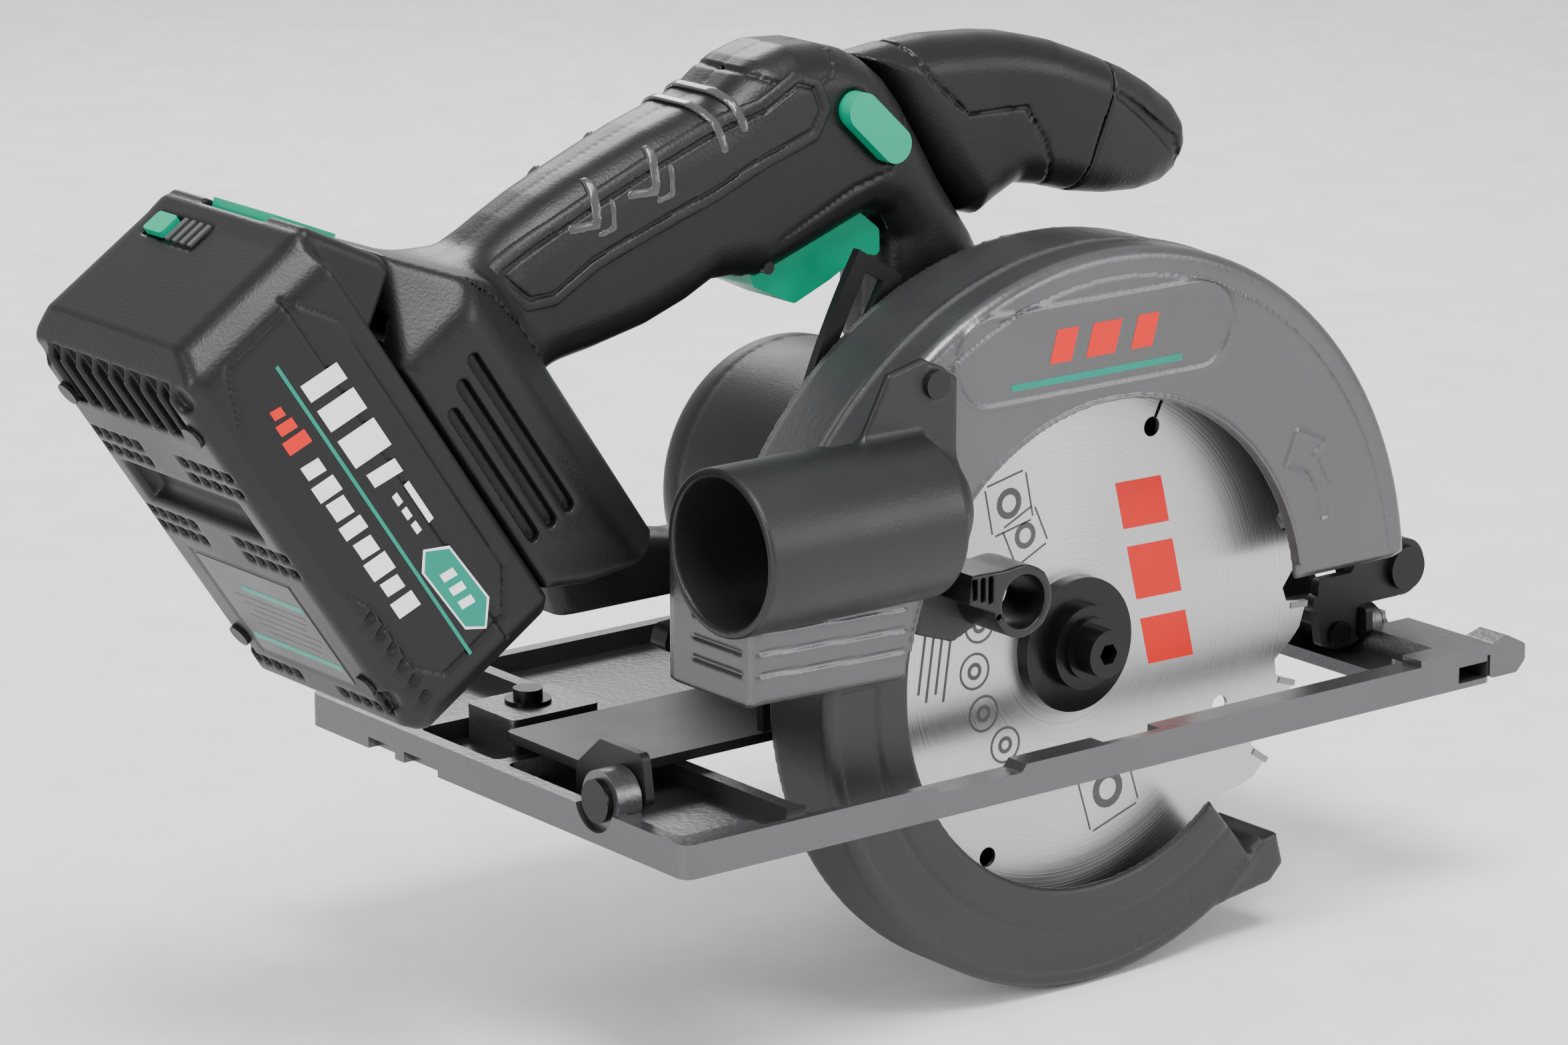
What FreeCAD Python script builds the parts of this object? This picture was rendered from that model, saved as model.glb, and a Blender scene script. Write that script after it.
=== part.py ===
# Cordless circular saw with its blade on the right-hand side.
# Frame: +X forward, +Y left (motor side), +Z up. The origin lies on the sole of the base, in the
# middle plane of the blade, straight under the blade's axis. All sizes are in millimetres.
import FreeCAD, Part
import math
import os
import re
from FreeCAD import Placement, Rotation, Vector

doc = FreeCAD.newDocument("circular_saw")
sheet = doc.addObject("Spreadsheet::Sheet", "sizes")
aliases = []
sub_parts = {}


def size(alias, value):
    """Writes a driving size into the sheet and returns it."""
    aliases.append(alias)
    cell = "A" + str(len(aliases))
    sheet.set(cell, str(value))
    sheet.setAlias(cell, alias)
    return value


def bound(text):
    """An expression in which each alias is looked up in the sheet."""
    def in_sheet(word):
        """The word, led to the sheet if it is one of its sizes."""
        return "sizes." + word.group() if word.group() in aliases else word.group()

    return re.sub("[a-z_]+", in_sheet, text)


# ---- Driving sizes ------------------------------------------------------------------------------
blade_radius = size("blade_radius", 82.5)
blade_half = size("blade_half", 0.6)
blade_bore = size("blade_bore", 10.0)
blade_teeth = int(size("blade_teeth", 24))
axis_height = size("axis_height", 27.5)
base_rear = size("base_rear", -142.0)
base_front = size("base_front", 125.5)
base_right = size("base_right", -27.0)
base_left = size("base_left", 134.0)
base_rim = size("base_rim", 8.6)
deck_depth = size("deck_depth", 3.5)
rail_width = size("rail_width", 7.0)
window_left = size("window_left", 49.5)
window_rear = size("window_rear", -101.0)
window_front = size("window_front", 99.0)
guard_radius = size("guard_radius", 104.5)
guard_wall = size("guard_wall", 3.0)
guard_right = size("guard_right", -16.0)
guard_left = size("guard_left", 18.0)
guard_opening = size("guard_opening", 65.0)
lower_radius = size("lower_radius", 88.2)
lower_wall = size("lower_wall", 2.0)
lower_right = size("lower_right", -12.2)
lower_left = size("lower_left", 11.0)
nose_radius = size("nose_radius", 15.0)
running_gap = size("running_gap", 0.08)
flange_radius = size("flange_radius", 17.5)
spindle_radius = size("spindle_radius", 6.0)
gear_teeth = int(size("gear_teeth", 43))
pinion_teeth = int(size("pinion_teeth", 11))
gear_module = size("gear_module", 1.0)
case_end = size("case_end", 48.0)
motor_radius = size("motor_radius", 38.0)
motor_end = size("motor_end", 112.0)
housing_wall = size("housing_wall", 2.6)
grip_middle = size("grip_middle", 40.0)
grip_half = size("grip_half", 17.0)
pack_half = size("pack_half", 36.0)
pack_deep = size("pack_deep", 46.5)
pack_tilt = size("pack_tilt", 56.0)
foot_deep = size("foot_deep", 37.0)
tube_radius = size("tube_radius", 20.6)
tube_bore = size("tube_bore", 18.3)
bevel_side = size("bevel_side", 9.5)
bevel_height = size("bevel_height", 10.5)
bevel_pin = size("bevel_pin", 3.5)
depth_front = size("depth_front", 123.0)
depth_height = size("depth_height", 25.0)
depth_pin = size("depth_pin", 3.5)
guide_radius = size("guide_radius", 198.0)
guide_half = size("guide_half", 8.0)
cell_radius = size("cell_radius", 9.1)
cell_half = size("cell_half", 32.5)

# The motor's axis stands one gear centre distance from the blade's axis, up and to the rear.
centre_distance = gear_module * (gear_teeth + pinion_teeth) / 2
motor_lean = math.radians(114)
motor_x = centre_distance * math.cos(motor_lean)
motor_z = axis_height + centre_distance * math.sin(motor_lean)
doc.recompute()


# ---- Outlines: lists of edges in a sketch's own plane --------------------------------------------
def corners(points):
    """Straight edges through the points, closed."""
    return [Part.LineSegment(Vector(*a, 0), Vector(*b, 0)) for a, b in zip(points, points[1:] + points[:1])]


def rounded(points, radius):
    """A closed outline with every corner rounded, each by no more than its own sides allow."""
    edges = []
    count = len(points)
    tangents = []
    for index in range(count):
        corner = Vector(*points[index], 0)
        before = Vector(*points[index - 1], 0) - corner
        after = Vector(*points[(index + 1) % count], 0) - corner
        half = before.getAngle(after) / 2
        reach = min(radius / math.tan(half), 0.45 * before.Length, 0.45 * after.Length)
        before.normalize()
        after.normalize()
        middle = (before + after).normalize()
        bulge = reach / math.cos(half) - reach * math.tan(half)
        tangents.append((corner + before * reach, corner + middle * bulge, corner + after * reach))
    for index in range(count):
        start, middle, end = tangents[index]
        edges.append(Part.Arc(start, middle, end))
        edges.append(Part.LineSegment(end, tangents[(index + 1) % count][0]))
    return edges


def circle(x, y, radius):
    """One full circle."""
    return [Part.Circle(Vector(x, y, 0), Vector(0, 0, 1), radius)]


def polar(radius, degrees, x=0.0, y=0.0):
    """A point on a circle."""
    angle = math.radians(degrees)
    return (x + radius * math.cos(angle), y + radius * math.sin(angle))


def arc(radius, start, end, x=0.0, y=0.0):
    """An arc through three points on a circle."""
    points = [Vector(*polar(radius, angle, x, y), 0) for angle in (start, (start + end) / 2, end)]
    return Part.Arc(*points)


def sector(inner, outer, start, end, x=0.0, y=0.0):
    """A ring's sector."""
    return [
        arc(outer, start, end, x, y),
        Part.LineSegment(Vector(*polar(outer, end, x, y), 0), Vector(*polar(inner, end, x, y), 0)),
        arc(inner, start, end, x, y),
        Part.LineSegment(Vector(*polar(inner, start, x, y), 0), Vector(*polar(outer, start, x, y), 0)),
    ]


def rectangle(low_x, low_y, high_x, high_y):
    """An upright rectangle."""
    return corners([(low_x, low_y), (high_x, low_y), (high_x, high_y), (low_x, high_y)])


def inset(points, wall):
    """A counter-clockwise outline's points, moved inwards by a wall."""
    moved = []
    for index, point in enumerate(points):
        before = Vector(*points[index - 1], 0)
        corner = Vector(*point, 0)
        after = Vector(*points[(index + 1) % len(points)], 0)
        first = (corner - before).normalize()
        second = (after - corner).normalize()
        first_in = Vector(-first.y, first.x, 0)
        second_in = Vector(-second.y, second.x, 0)
        shift = (first_in + second_in) * (wall / (1 + first_in.dot(second_in)))
        moved.append((corner.x + shift.x, corner.y + shift.y))
    return moved


def gear_outline(teeth, x, y, turn):
    """A spur gear's outline with involute flanks, addendum 0.85 and dedendum 1.15 of the module."""
    pitch = gear_module * teeth / 2
    base = pitch * math.cos(math.radians(20))
    tip = pitch + 0.85 * gear_module
    root = pitch - 1.15 * gear_module
    half_tooth = math.pi / (2 * teeth) - 0.11 * gear_module / pitch
    pitch_roll = math.sqrt((pitch / base) ** 2 - 1)
    pitch_spread = pitch_roll - math.atan(pitch_roll)
    flank = [(root, half_tooth + pitch_spread)]
    steps = 4
    low = max(base, root)
    for step in range(steps + 1):
        radius = low + (tip - low) * step / steps
        roll = math.sqrt(max((radius / base) ** 2 - 1, 0))
        flank.append((radius, half_tooth + pitch_spread - (roll - math.atan(roll))))
    points = []
    for tooth in range(teeth):
        middle = turn + 2 * math.pi * tooth / teeth
        for radius, spread in flank:
            points.append((x + radius * math.cos(middle - spread), y + radius * math.sin(middle - spread)))
        for radius, spread in reversed(flank):
            points.append((x + radius * math.cos(middle + spread), y + radius * math.sin(middle + spread)))
    return corners(points)


# ---- Pieces --------------------------------------------------------------------------------------
SKETCH_PLANES = {"x": "YZ_Plane", "y": "XZ_Plane", "z": "XY_Plane"}


class Piece:
    """One sub-part as a PartDesign body: outlines padded or cut between two heights on an axis."""

    def __init__(self, node, placement=None):
        self.body = doc.addObject("PartDesign::Body", node)
        self.body.Label = node
        if placement:
            self.body.Placement = placement
        self.count = 0
        sub_parts[node] = self.body

    def sketch(self, axis, edges, level):
        self.count += 1
        sketch = self.body.newObject("Sketcher::SketchObject", self.body.Name + "_sketch" + str(self.count))
        plane = [part for part in self.body.Origin.OriginFeatures if part.Role == SKETCH_PLANES[axis]][0]
        sketch.AttachmentSupport = [(plane, "")]
        sketch.MapMode = "FlatFace"
        sketch.setExpression(".AttachmentOffset.Base.z", bound(level))
        sketch.addGeometry(edges, False)
        return sketch

    def add(self, axis, edges, low, high):
        """Pads an outline from low to high; both are expressions on the sheet's sizes."""
        level = "-(" + high + ")" if axis == "y" else low
        pad = self.body.newObject("PartDesign::Pad", self.body.Name + "_pad" + str(self.count))
        pad.Profile = self.sketch(axis, edges, level)
        pad.setExpression("Length", bound("(" + high + ") - (" + low + ")"))
        return self

    def cut(self, axis, edges, low, high):
        """Pockets an outline from low to high."""
        level = "-(" + low + ")" if axis == "y" else high
        pocket = self.body.newObject("PartDesign::Pocket", self.body.Name + "_pocket" + str(self.count))
        pocket.Profile = self.sketch(axis, edges, level)
        pocket.setExpression("Length", bound("(" + high + ") - (" + low + ")"))
        return self


def drum(node, axis, x, y, bands, placement=None):
    """A round piece made of bands: (radius, low, high), or (radius, low, high, bore radius)."""
    piece = Piece(node, placement)
    for band in bands:
        piece.add(axis, circle(x, y, band[0]), band[1], band[2])
    for band in bands:
        if len(band) > 3:
            piece.cut(axis, circle(x, y, band[3]), band[1], band[2])
    return piece


def group(node, solids):
    """Identical small pieces kept as separate solids in one node."""
    compound = doc.addObject("Part::Compound", node)
    compound.Label = node
    compound.Links = solids
    sub_parts[node] = compound


def joined(node, members):
    """Several made pieces, still separate solids, as one node."""
    for member in members:
        del sub_parts[member]
    group(node, [doc.getObject(member) for member in members])


def cylinder(name, radius, length, base, direction):
    """A Part cylinder; its radius and length are expressions."""
    solid = doc.addObject("Part::Cylinder", name)
    solid.setExpression("Radius", bound(radius))
    solid.setExpression("Height", bound(length))
    solid.Placement = Placement(Vector(*base), Rotation(Vector(0, 0, 1), Vector(*direction)))
    return solid


def screws(node, places, direction, head_radius, head_height, shank_radius, shank_length):
    """Screws with a round head at each place; the shank runs against the direction."""
    solids = []
    for index, place in enumerate(places):
        head = cylinder(node + "_head" + str(index), head_radius, head_height, place, direction)
        back = tuple(-part for part in direction)
        shank = cylinder(node + "_shank" + str(index), shank_radius, shank_length, place, back)
        screw = doc.addObject("Part::Fuse", node + "_screw" + str(index))
        screw.Base = head
        screw.Tool = shank
        solids.append(screw)
    group(node, solids)


# ---- Base: sole plate, window, ribs, fence bar ----------------------------------------------------
base = Piece("base_plate")
base.add("z", rounded([(base_rear, base_right), (base_front, base_right), (base_front, base_left),
                       (base_rear, base_left)], 3), "0", "base_rim")
base.cut("z", rounded([(window_rear, base_right + rail_width), (window_front, base_right + rail_width),
                       (window_front, window_left), (window_rear, window_left)], 4), "0", "base_rim")
# Shallow fields leave a rim round the deck and ribs between them.
rim = 4.0
bar_rear = base_front - 15.5
field_front = bar_rear
for low_x, high_x in ((-92.0, -22.0), (-18.0, 42.0), (46.0, field_front)):
    base.cut("z", rounded([(low_x, window_left + rim), (high_x, window_left + rim),
                           (high_x, base_left - rim), (low_x, base_left - rim)], 3), "deck_depth",
                       "base_rim")
for low_y, high_y in ((base_right + rail_width, 52.0), (56.0, 90.0), (94.0, base_left - rim)):
    base.cut("z", rounded([(base_rear + rim, low_y), (-96.0 if low_y > 50 else window_rear - rim, low_y),
                           (-96.0 if low_y > 50 else window_rear - rim, high_y),
                           (base_rear + rim, high_y)], 2.5), "deck_depth", "base_rim")
base.cut("z", rectangle(window_front, base_right + rail_width, field_front, window_left + rim),
         "deck_depth", "base_rim")
# The front bar is higher and holds the slot for a rip fence.
base.add("z", rectangle(bar_rear, base_right, base_front, base_left), "base_rim - 1", "base_rim + 1.8")
base.add("z", rectangle(window_front, base_right, bar_rear + 1, base_right + rail_width),
         "base_rim - 1", "base_rim + 1.8")
slot_low = base_front - 12.5
slot_high = base_front - 2.0
base.cut("y", rectangle(slot_low, 1.6, slot_high, 6.0), "base_right - 1", "base_left + 1")
# Ski at the front right corner.
base.add("y", rounded([(base_front - 1, 1.0), (base_front + 9, 1.0), (base_front + 12, 4.0),
                       (base_front + 12, 8.5), (base_front + 5, 12.0), (base_front - 1, base_rim + 1.8)],
                   1.5),
         "base_right", "base_right + 10")
# Dip in the right rail, and arches under the rear edge.
base.cut("y", rounded([(-64.0, 6.6), (-38.0, 6.6), (-34.0, 12.0), (-68.0, 12.0)], 2),
         "base_right - 1", "base_right + rail_width + 1")
for low_y, high_y in ((76.0, 91.0), (95.0, 107.0)):
    base.cut("x", rectangle(low_y, -1.0, high_y, 3.0), "base_rear - 1", "base_rear + 3")
# Reliefs in the rail's inner edge for the bolt head and the guard's tail at full bevel.
rail_inside = base_right + rail_width
base.cut("x", corners([(rail_inside + 1, 3.0), (rail_inside - 5.6, 9.4), (rail_inside - 5.6, 12.0),
                       (rail_inside + 1, 12.0)]), "-9.5", "9.5")
base.cut("x", rectangle(rail_inside - 4.8, 6.6, rail_inside + 1, 12.0), "-117", "-60")
# Lug for the rear bevel pin, and the upright for the front one with its curved slot.
base.cut("x", circle(bevel_side, bevel_height, 7.7), "base_rear - 1", "base_rear + 2")
base.add("x", circle(bevel_side, bevel_height, 7.5), "base_rear + 2", "base_rear + 9")
base.add("x", corners([(bevel_side - 7, 2.0), (bevel_side + 7, 2.0), (bevel_side + 7, bevel_height),
                       (bevel_side - 7, bevel_height)]), "base_rear + 2", "base_rear + 9")
upright_rear = "base_front - 15.2"
upright_front = "base_front - 10.7"
base.add("x", circle(bevel_side, bevel_height, 5.6), upright_rear, upright_front)
base.add("x", rounded([(bevel_side, 8.0), (66.0, 8.0), (66.0, 26.0), (58.0, 46.0), (44.0, 60.0),
                       (29.0, 56.0),
                       (33.0, 44.0), (42.0, 32.0), (47.0, 20.0), (24.0, 14.0), (bevel_side, 12.0)], 2),
         upright_rear, upright_front)
knob_reach = 48.0
knob_angle = 6.0
base.cut("x", sector(knob_reach - 3.3, knob_reach + 3.3, 1.0, 56.0, bevel_side, bevel_height),
         upright_rear, upright_front)
base.cut("x", circle(bevel_side, bevel_height, 4.4), upright_front, "base_front + 1")
for low, high in (("base_rear + 2", "base_rear + 9"), ("base_front - 16", upright_front)):
    base.cut("x", circle(bevel_side, bevel_height, bevel_pin), low, high)

drum("bevel_pin_rear", "x", bevel_side, bevel_height,
     [(bevel_pin, "base_rear + 2", "base_rear + 14"), (5.4, "base_rear + 0.2", "base_rear + 2")])
drum("bevel_pin_front", "x", bevel_side, bevel_height,
     [(bevel_pin, "base_front - 19", "base_front - 10.7"), (4.2, "base_front - 10.7", "base_front - 9")])

# Rear block on the deck, held by one screw with a washer.
block = Piece("rear_block")
block.add("z", rounded([(base_rear + 17, 67.0), (-98.0, 67.0), (-98.0, 88.0), (base_rear + 17, 88.0)], 2),
          "deck_depth", "base_rim + 5")
block_screw_x = -112.0
block_screw_y = 79.0
block.cut("z", circle(block_screw_x, block_screw_y, 2.5), "deck_depth", "base_rim + 5")
drum("rear_block_screw", "z", block_screw_x, block_screw_y,
     [(2.5, "deck_depth + 0.4", "base_rim + 5"), (6.0, "base_rim + 5", "base_rim + 6"),
      (3.8, "base_rim + 6", "base_rim + 8.6")])

# ---- Bevel frame: the sheet that carries the saw and tilts on the two bevel pins -------------------
pin_hole = bevel_pin + running_gap
frame_low = "base_rim + 2.4"
frame_high = "base_rim + 4.9"
frame_right = 21.0
frame = Piece("bevel_frame")
frame.add("z", rounded([(base_rear + 11, frame_right), (-48.0, frame_right), (-44.0, 52.0), (34.0, 52.0),
                        (38.0, 24.0), (base_front - 16.5, 24.0), (base_front - 16.5, 50.0),
                        (44.0, 50.0), (40.0, 62.0), (base_rear + 11, 62.0)], 2), frame_low, frame_high)
frame.add("x", rounded([(9.5, 4.1), (30.0, 3.8), (30.0, 13.5), (20.0, 22.0), (3.0, 22.0), (1.0, 10.0)], 2),
          "base_rear + 9.6", "base_rear + 12.1")
frame.add("x", rounded([(9.5, 4.1), (28.0, 3.8), (28.0, 10.9), (66.0, 10.9), (66.0, 24.0), (28.0, 24.0),
                        (22.0, 16.5), (3.0, 16.5), (2.5, 10.0)], 1), "base_front - 18", "base_front - 15.6")
frame.cut("x", circle(bevel_side, bevel_height, pin_hole), "base_rear + 9", "base_rear + 13")
frame.cut("x", circle(bevel_side, bevel_height, pin_hole), "base_front - 19", "base_front - 15")
knob_side, knob_up = polar(knob_reach, knob_angle, bevel_side, bevel_height)
frame.cut("x", circle(knob_side, knob_up, 3.0), "base_front - 19", "base_front - 15")

# The front bracket stands on the frame and its ear carries the depth pivot.
bracket = Piece("front_bracket")
bracket.add("y", rounded([(92.0, 26.5), (92.0, 18.0), (93.5, 8.0), (99.0, 6.2), (106.5, 7.0), (106.5, 17.2),
                          (depth_front, 17.2), (depth_front, 33.0), (108.0, 33.0), (104.0, 26.5)], 2),
            "5.2", "8.2")
bracket.add("y", circle(depth_front, depth_height, 7.8), "5.2", "8.2")
bracket.add("y", rounded([(93.5, 13.0), (106.5, 13.0), (106.5, 16.9), (93.5, 16.9)], 1), "8.0", "23.0")
bracket.cut("y", circle(depth_front, depth_height, depth_pin), "5.0", "8.4")
bracket.cut("y", circle(99.5, 10.5, 2.5), "5.0", "8.4")
bracket.add("y", circle(92.6, 20.0, 2.4), "5.2", "8.2")
drum("depth_pin", "y", depth_front, depth_height,
     [(depth_pin, "5.2", "19.4"), (6.0, "3.0", "5.2"), (5.6, "19.4", "20.6")])
drum("bracket_rivet", "y", 99.5, 10.5, [(2.5, "5.2", "8.2"), (3.7, "3.8", "5.2")])

# Depth guide: an arc about the depth pivot, with a slot for the locking bolt.
guide_start = 148.5
guide_end = 183.0
guide = Piece("depth_guide")
guide.add("y", sector(guide_radius - guide_half, guide_radius + guide_half, guide_start, guide_end,
                      depth_front, depth_height), "19.4", "21.9")
guide.cut("y", sector(guide_radius - 3.2, guide_radius + 3.2, guide_start + 1.1, 176.3,
                      depth_front, depth_height), "19.0", "22.4")
drum("guide_rivet", "y", -72.0, 17.5, [(2.4, "21.9", "24.5"), (4.0, "24.5", "26.0")])
joined("frame_rivets", ["bracket_rivet", "guide_rivet"])

# ---- Blade, flanges, bolt and spindle --------------------------------------------------------------
tooth_turn = 360.0 / blade_teeth
first_tooth = -3.5
blade = Piece("blade")
tooth_points = []
for tooth in range(blade_teeth):
    tip = first_tooth + tooth * tooth_turn
    for radius, lag in ((blade_radius - 0.4, 1.0), (blade_radius - 7.5, 1.6), (blade_radius - 9.0, 4.6),
                        (blade_radius - 4.5, 8.6), (blade_radius - 2.0, 11.2)):
        tooth_points.append(polar(radius, tip - 0.0 + lag, 0, axis_height))
blade.add("y", corners(tooth_points), "-blade_half", "blade_half")
blade.cut("y", circle(0, axis_height, blade_bore), "-blade_half - 1", "blade_half + 1")
for slot in range(4):
    turn = 63.0 + 90 * slot
    inner_x, inner_z = polar(blade_radius - 24, turn, 0, axis_height)
    blade.cut("y", circle(inner_x, inner_z, 2.6), "-blade_half - 1", "blade_half + 1")
    blade.cut("y", sector(blade_radius - 24, blade_radius + 1, turn - 0.5, turn + 0.5, 0, axis_height),
              "-blade_half - 1", "blade_half + 1")
tips = []
for tooth in range(blade_teeth):
    tip = doc.addObject("Part::Box", "carbide_tip" + str(tooth))
    tip.Length = 6.0
    tip.setExpression("Width", bound("2 * blade_half + 0.6"))
    tip.Height = 1.6
    turn = first_tooth + tooth * tooth_turn
    foot_x, foot_z = polar(blade_radius - 6.0, turn, 0, axis_height)
    tip.Placement = Placement(Vector(foot_x, -blade_half - 0.3, foot_z), Rotation(Vector(0, 1, 0), -turn))
    tips.append(tip)
group("blade_tips", tips)

drum("inner_flange", "y", 0, axis_height, [(flange_radius, "blade_half", "4.0", spindle_radius)])
drum("outer_flange", "y", 0, axis_height,
     [(flange_radius, "-4.4", "-blade_half", 4.0), (11.0, "-8.0", "-4.4", 4.0)])
bolt = Piece("blade_bolt")
bolt.add("y", circle(0, axis_height, 4.0), "-8.0", "9.0")
bolt.add("y", circle(0, axis_height, 6.2), "-15.6", "-8.0")
bolt.add("y", circle(0, axis_height, 8.0), "-9.4", "-8.0")
bolt.cut("y", corners([polar(2.9, 60 * side, 0, axis_height) for side in range(6)]), "-16", "-11")
spindle = Piece("spindle")
spindle.add("y", circle(0, axis_height, spindle_radius), "-blade_half", "44.0")
spindle.add("y", circle(0, axis_height, blade_bore), "-blade_half", "blade_half")
spindle.add("y", circle(0, axis_height, 8.5), "4.0", "5.4")
spindle.cut("y", circle(0, axis_height, 4.0), "-2", "9.0")
gear = Piece("spindle_gear")
gear.add("y", gear_outline(gear_teeth, 0, axis_height, motor_lean), "28.0", "36.0")
gear.cut("y", circle(0, axis_height, spindle_radius), "27", "37")
drum("bearing_front", "y", 0, axis_height, [(11.0, "12.0", "19.0", spindle_radius + running_gap)])
drum("bearing_rear", "y", 0, axis_height, [(9.5, "38.5", "43.5", spindle_radius + running_gap)])

# ---- Armature --------------------------------------------------------------------------------------
shaft_radius = 3.9
drum("armature_shaft", "y", motor_x, motor_z, [(shaft_radius, "27.0", "106.0")])
pinion = Piece("pinion")
pinion.add("y", gear_outline(pinion_teeth, motor_x, motor_z,
                                   motor_lean + math.pi + math.pi / pinion_teeth), "27.6", "37.0")
pinion.cut("y", circle(motor_x, motor_z, shaft_radius), "27", "38")
drum("armature_core", "y", motor_x, motor_z, [(17.5, "62.0", "88.0", shaft_radius)])
drum("commutator", "y", motor_x, motor_z, [(10.0, "91.0", "99.0", shaft_radius)])
fan = Piece("fan")
fan.add("y", circle(motor_x, motor_z, 28.0), "55.0", "56.6")
for vane in range(11):
    turn = 360.0 * vane / 11
    fan.add("y", corners([polar(12, turn, motor_x, motor_z), polar(27, turn + 14, motor_x, motor_z),
                          polar(27, turn + 18, motor_x, motor_z), polar(12, turn + 7, motor_x, motor_z)]),
            "50.5", "56.0")
fan.add("y", circle(motor_x, motor_z, 8.0), "50.5", "56.6")
fan.cut("y", circle(motor_x, motor_z, shaft_radius), "50", "57")

# ---- Upper guard: cast shell with a face, a rim and a back wall --------------------------------------
guard = Piece("upper_guard")
low_front = 36.2
tail_rear = -113.5
tail_low = 33.6
start_angle = 6.0
tail_angle = 150.0
mouth_start = polar(guard_opening, 6.5, 0, axis_height)


def guard_outline(grow, inner_edges, inner_start, inner_end):
    """The guard's side outline, shrunk by a wall, closed by a chain of inner edges."""
    outer = guard_radius - grow
    first = polar(outer, start_angle, 0, axis_height)
    last = polar(outer, tail_angle, 0, axis_height)
    tail = [last, (tail_rear + grow, 66.0 - grow), (tail_rear + grow, tail_low), inner_end]
    sides = [Part.LineSegment(Vector(*a, 0), Vector(*b, 0)) for a, b in zip(tail, tail[1:])]
    front = [inner_start, (inner_start[0], low_front), (first[0] - 4, low_front), first]
    sides += [Part.LineSegment(Vector(*a, 0), Vector(*b, 0)) for a, b in zip(front, front[1:])
              if a != b]
    return [arc(outer, start_angle, tail_angle, 0, axis_height)] + sides + inner_edges


face_inner = [arc(guard_opening, 6.5, 157.0, 0, axis_height)]
face_end = polar(guard_opening, 157.0, 0, axis_height)
guard.add("y", guard_outline(0, face_inner + [Part.LineSegment(Vector(-65.0, tail_low, 0),
                                                               Vector(*face_end, 0))],
                             mouth_start, (-65.0, tail_low)), "guard_right", "guard_left")
# The hollow for the blade and the lower guard is open at the bottom.
hollow_out = guard_radius - guard_wall
guard.cut("y", [arc(hollow_out, 0.0, tail_angle, 0, axis_height)]
          + [Part.LineSegment(Vector(*a, 0), Vector(*b, 0)) for a, b in
             ((polar(hollow_out, tail_angle, 0, axis_height), (tail_rear + guard_wall, 62.0)),
              ((tail_rear + guard_wall, 62.0), (tail_rear + guard_wall, 20.0)),
              ((tail_rear + guard_wall, 20.0), (hollow_out, 20.0)),
              ((hollow_out, 20.0), polar(hollow_out, 0.0, 0, axis_height)))],
          "guard_right + 2.6", "guard_left + 1")
back_wall = "guard_left - 3"
guard.add("y", guard_outline(0, [Part.LineSegment(Vector(-20.0, tail_low, 0), Vector(20.0, tail_low, 0))],
                             (20.0, tail_low), (-20.0, tail_low)), back_wall, "guard_left")
guard.add("y", circle(0, axis_height, 24.0), back_wall, "guard_left")
guard.cut("y", circle(0, axis_height, nose_radius), "guard_left - 4", "guard_left + 1")
# Lug on the depth pivot.
guard.add("y", rounded([(88.0, 44.0), (88.0, 60.0), (96.0, 62.0), (114.0, 34.5), (depth_front, 33.0),
                        (depth_front, 17.6), (112.0, 17.6), (104.0, 36.0)], 2), "9.0", "guard_left")
guard.add("y", circle(depth_front, depth_height, 7.6), "9.0", "guard_left")
guard.cut("y", circle(depth_front, depth_height, depth_pin + running_gap), "8.5", "guard_left + 0.5")
# Dust opening in the rear of the rim, and the bolt hole of the depth lock.
tube_mouth = -124.0
tube_y = -17.0
tube_z = 74.9
guard.cut("x", circle(tube_y, tube_z, tube_radius + 0.2), "-125", "-85")
lock_x, lock_z = polar(guide_radius, 175.2, depth_front, depth_height)
guard.cut("y", circle(lock_x, lock_z, 2.5), "guard_left - 4", "guard_left + 1")

# Raised racetrack badge and rotation arrow on the guard's face.
badge = Piece("guard_badge")
badge.add("y", rounded([(-48.0, 99.0), (34.0, 99.0), (34.0, 119.0), (-48.0, 119.0)], 9.9),
          "guard_right - 0.6", "guard_right")

# ---- Lower guard ------------------------------------------------------------------------------------
lower = Piece("lower_guard")
lower_start = -229.0
lower_end = -50.0
lower_face = guard_opening - 3.6
lower.add("y", sector(lower_radius - lower_wall, lower_radius, lower_start, lower_end, 0, axis_height),
          "lower_right", "lower_left")
lower.add("y", sector(lower_face, lower_radius, lower_start, lower_end, 0, axis_height),
          "lower_right", "lower_right + 1.8")
lower.add("y", sector(14.0, lower_radius, lower_start, lower_end, 0, axis_height), "lower_left - 1.8",
          "lower_left")
lower.add("y", circle(0, axis_height, 21.0), "5.8", "lower_left + 1.5")
lower.add("y", rounded([polar(lower_radius - 1.5, -60, 0, axis_height),
                        polar(lower_radius + 6, -52, 0, axis_height),
                        polar(lower_radius + 4, -46, 0, axis_height),
                        polar(lower_radius - 3, -44, 0, axis_height),
                        polar(lower_radius - 2.6, -56, 0, axis_height)], 1.5), "lower_right", "lower_left")
lower.cut("y", circle(0, axis_height, nose_radius + running_gap), "5", "lower_left + 2")
lower.add("y", rounded([(-58.0, 64.0), (-60.0, 42.0), (-48.0, 38.0), (-38.0, 42.0), (-34.0, 52.0),
                        (-38.0, 58.0)], 3),
          "lower_right", "lower_right + 1.8")
lever = Piece("guard_lever")
lever.add("y", rounded([(-54.0, 61.0), (-56.0, 51.5), (-47.0, 47.5), (-44.0, 43.0), (-38.0, 41.0),
                        (-31.0, 44.0),
                        (-28.5, 50.5), (-31.0, 57.0), (-38.0, 60.0)], 3.5), "-27.0", "lower_right")
lever.cut("y", circle(-38.0, 50.5, 6.8), "-28", "-15")
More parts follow.
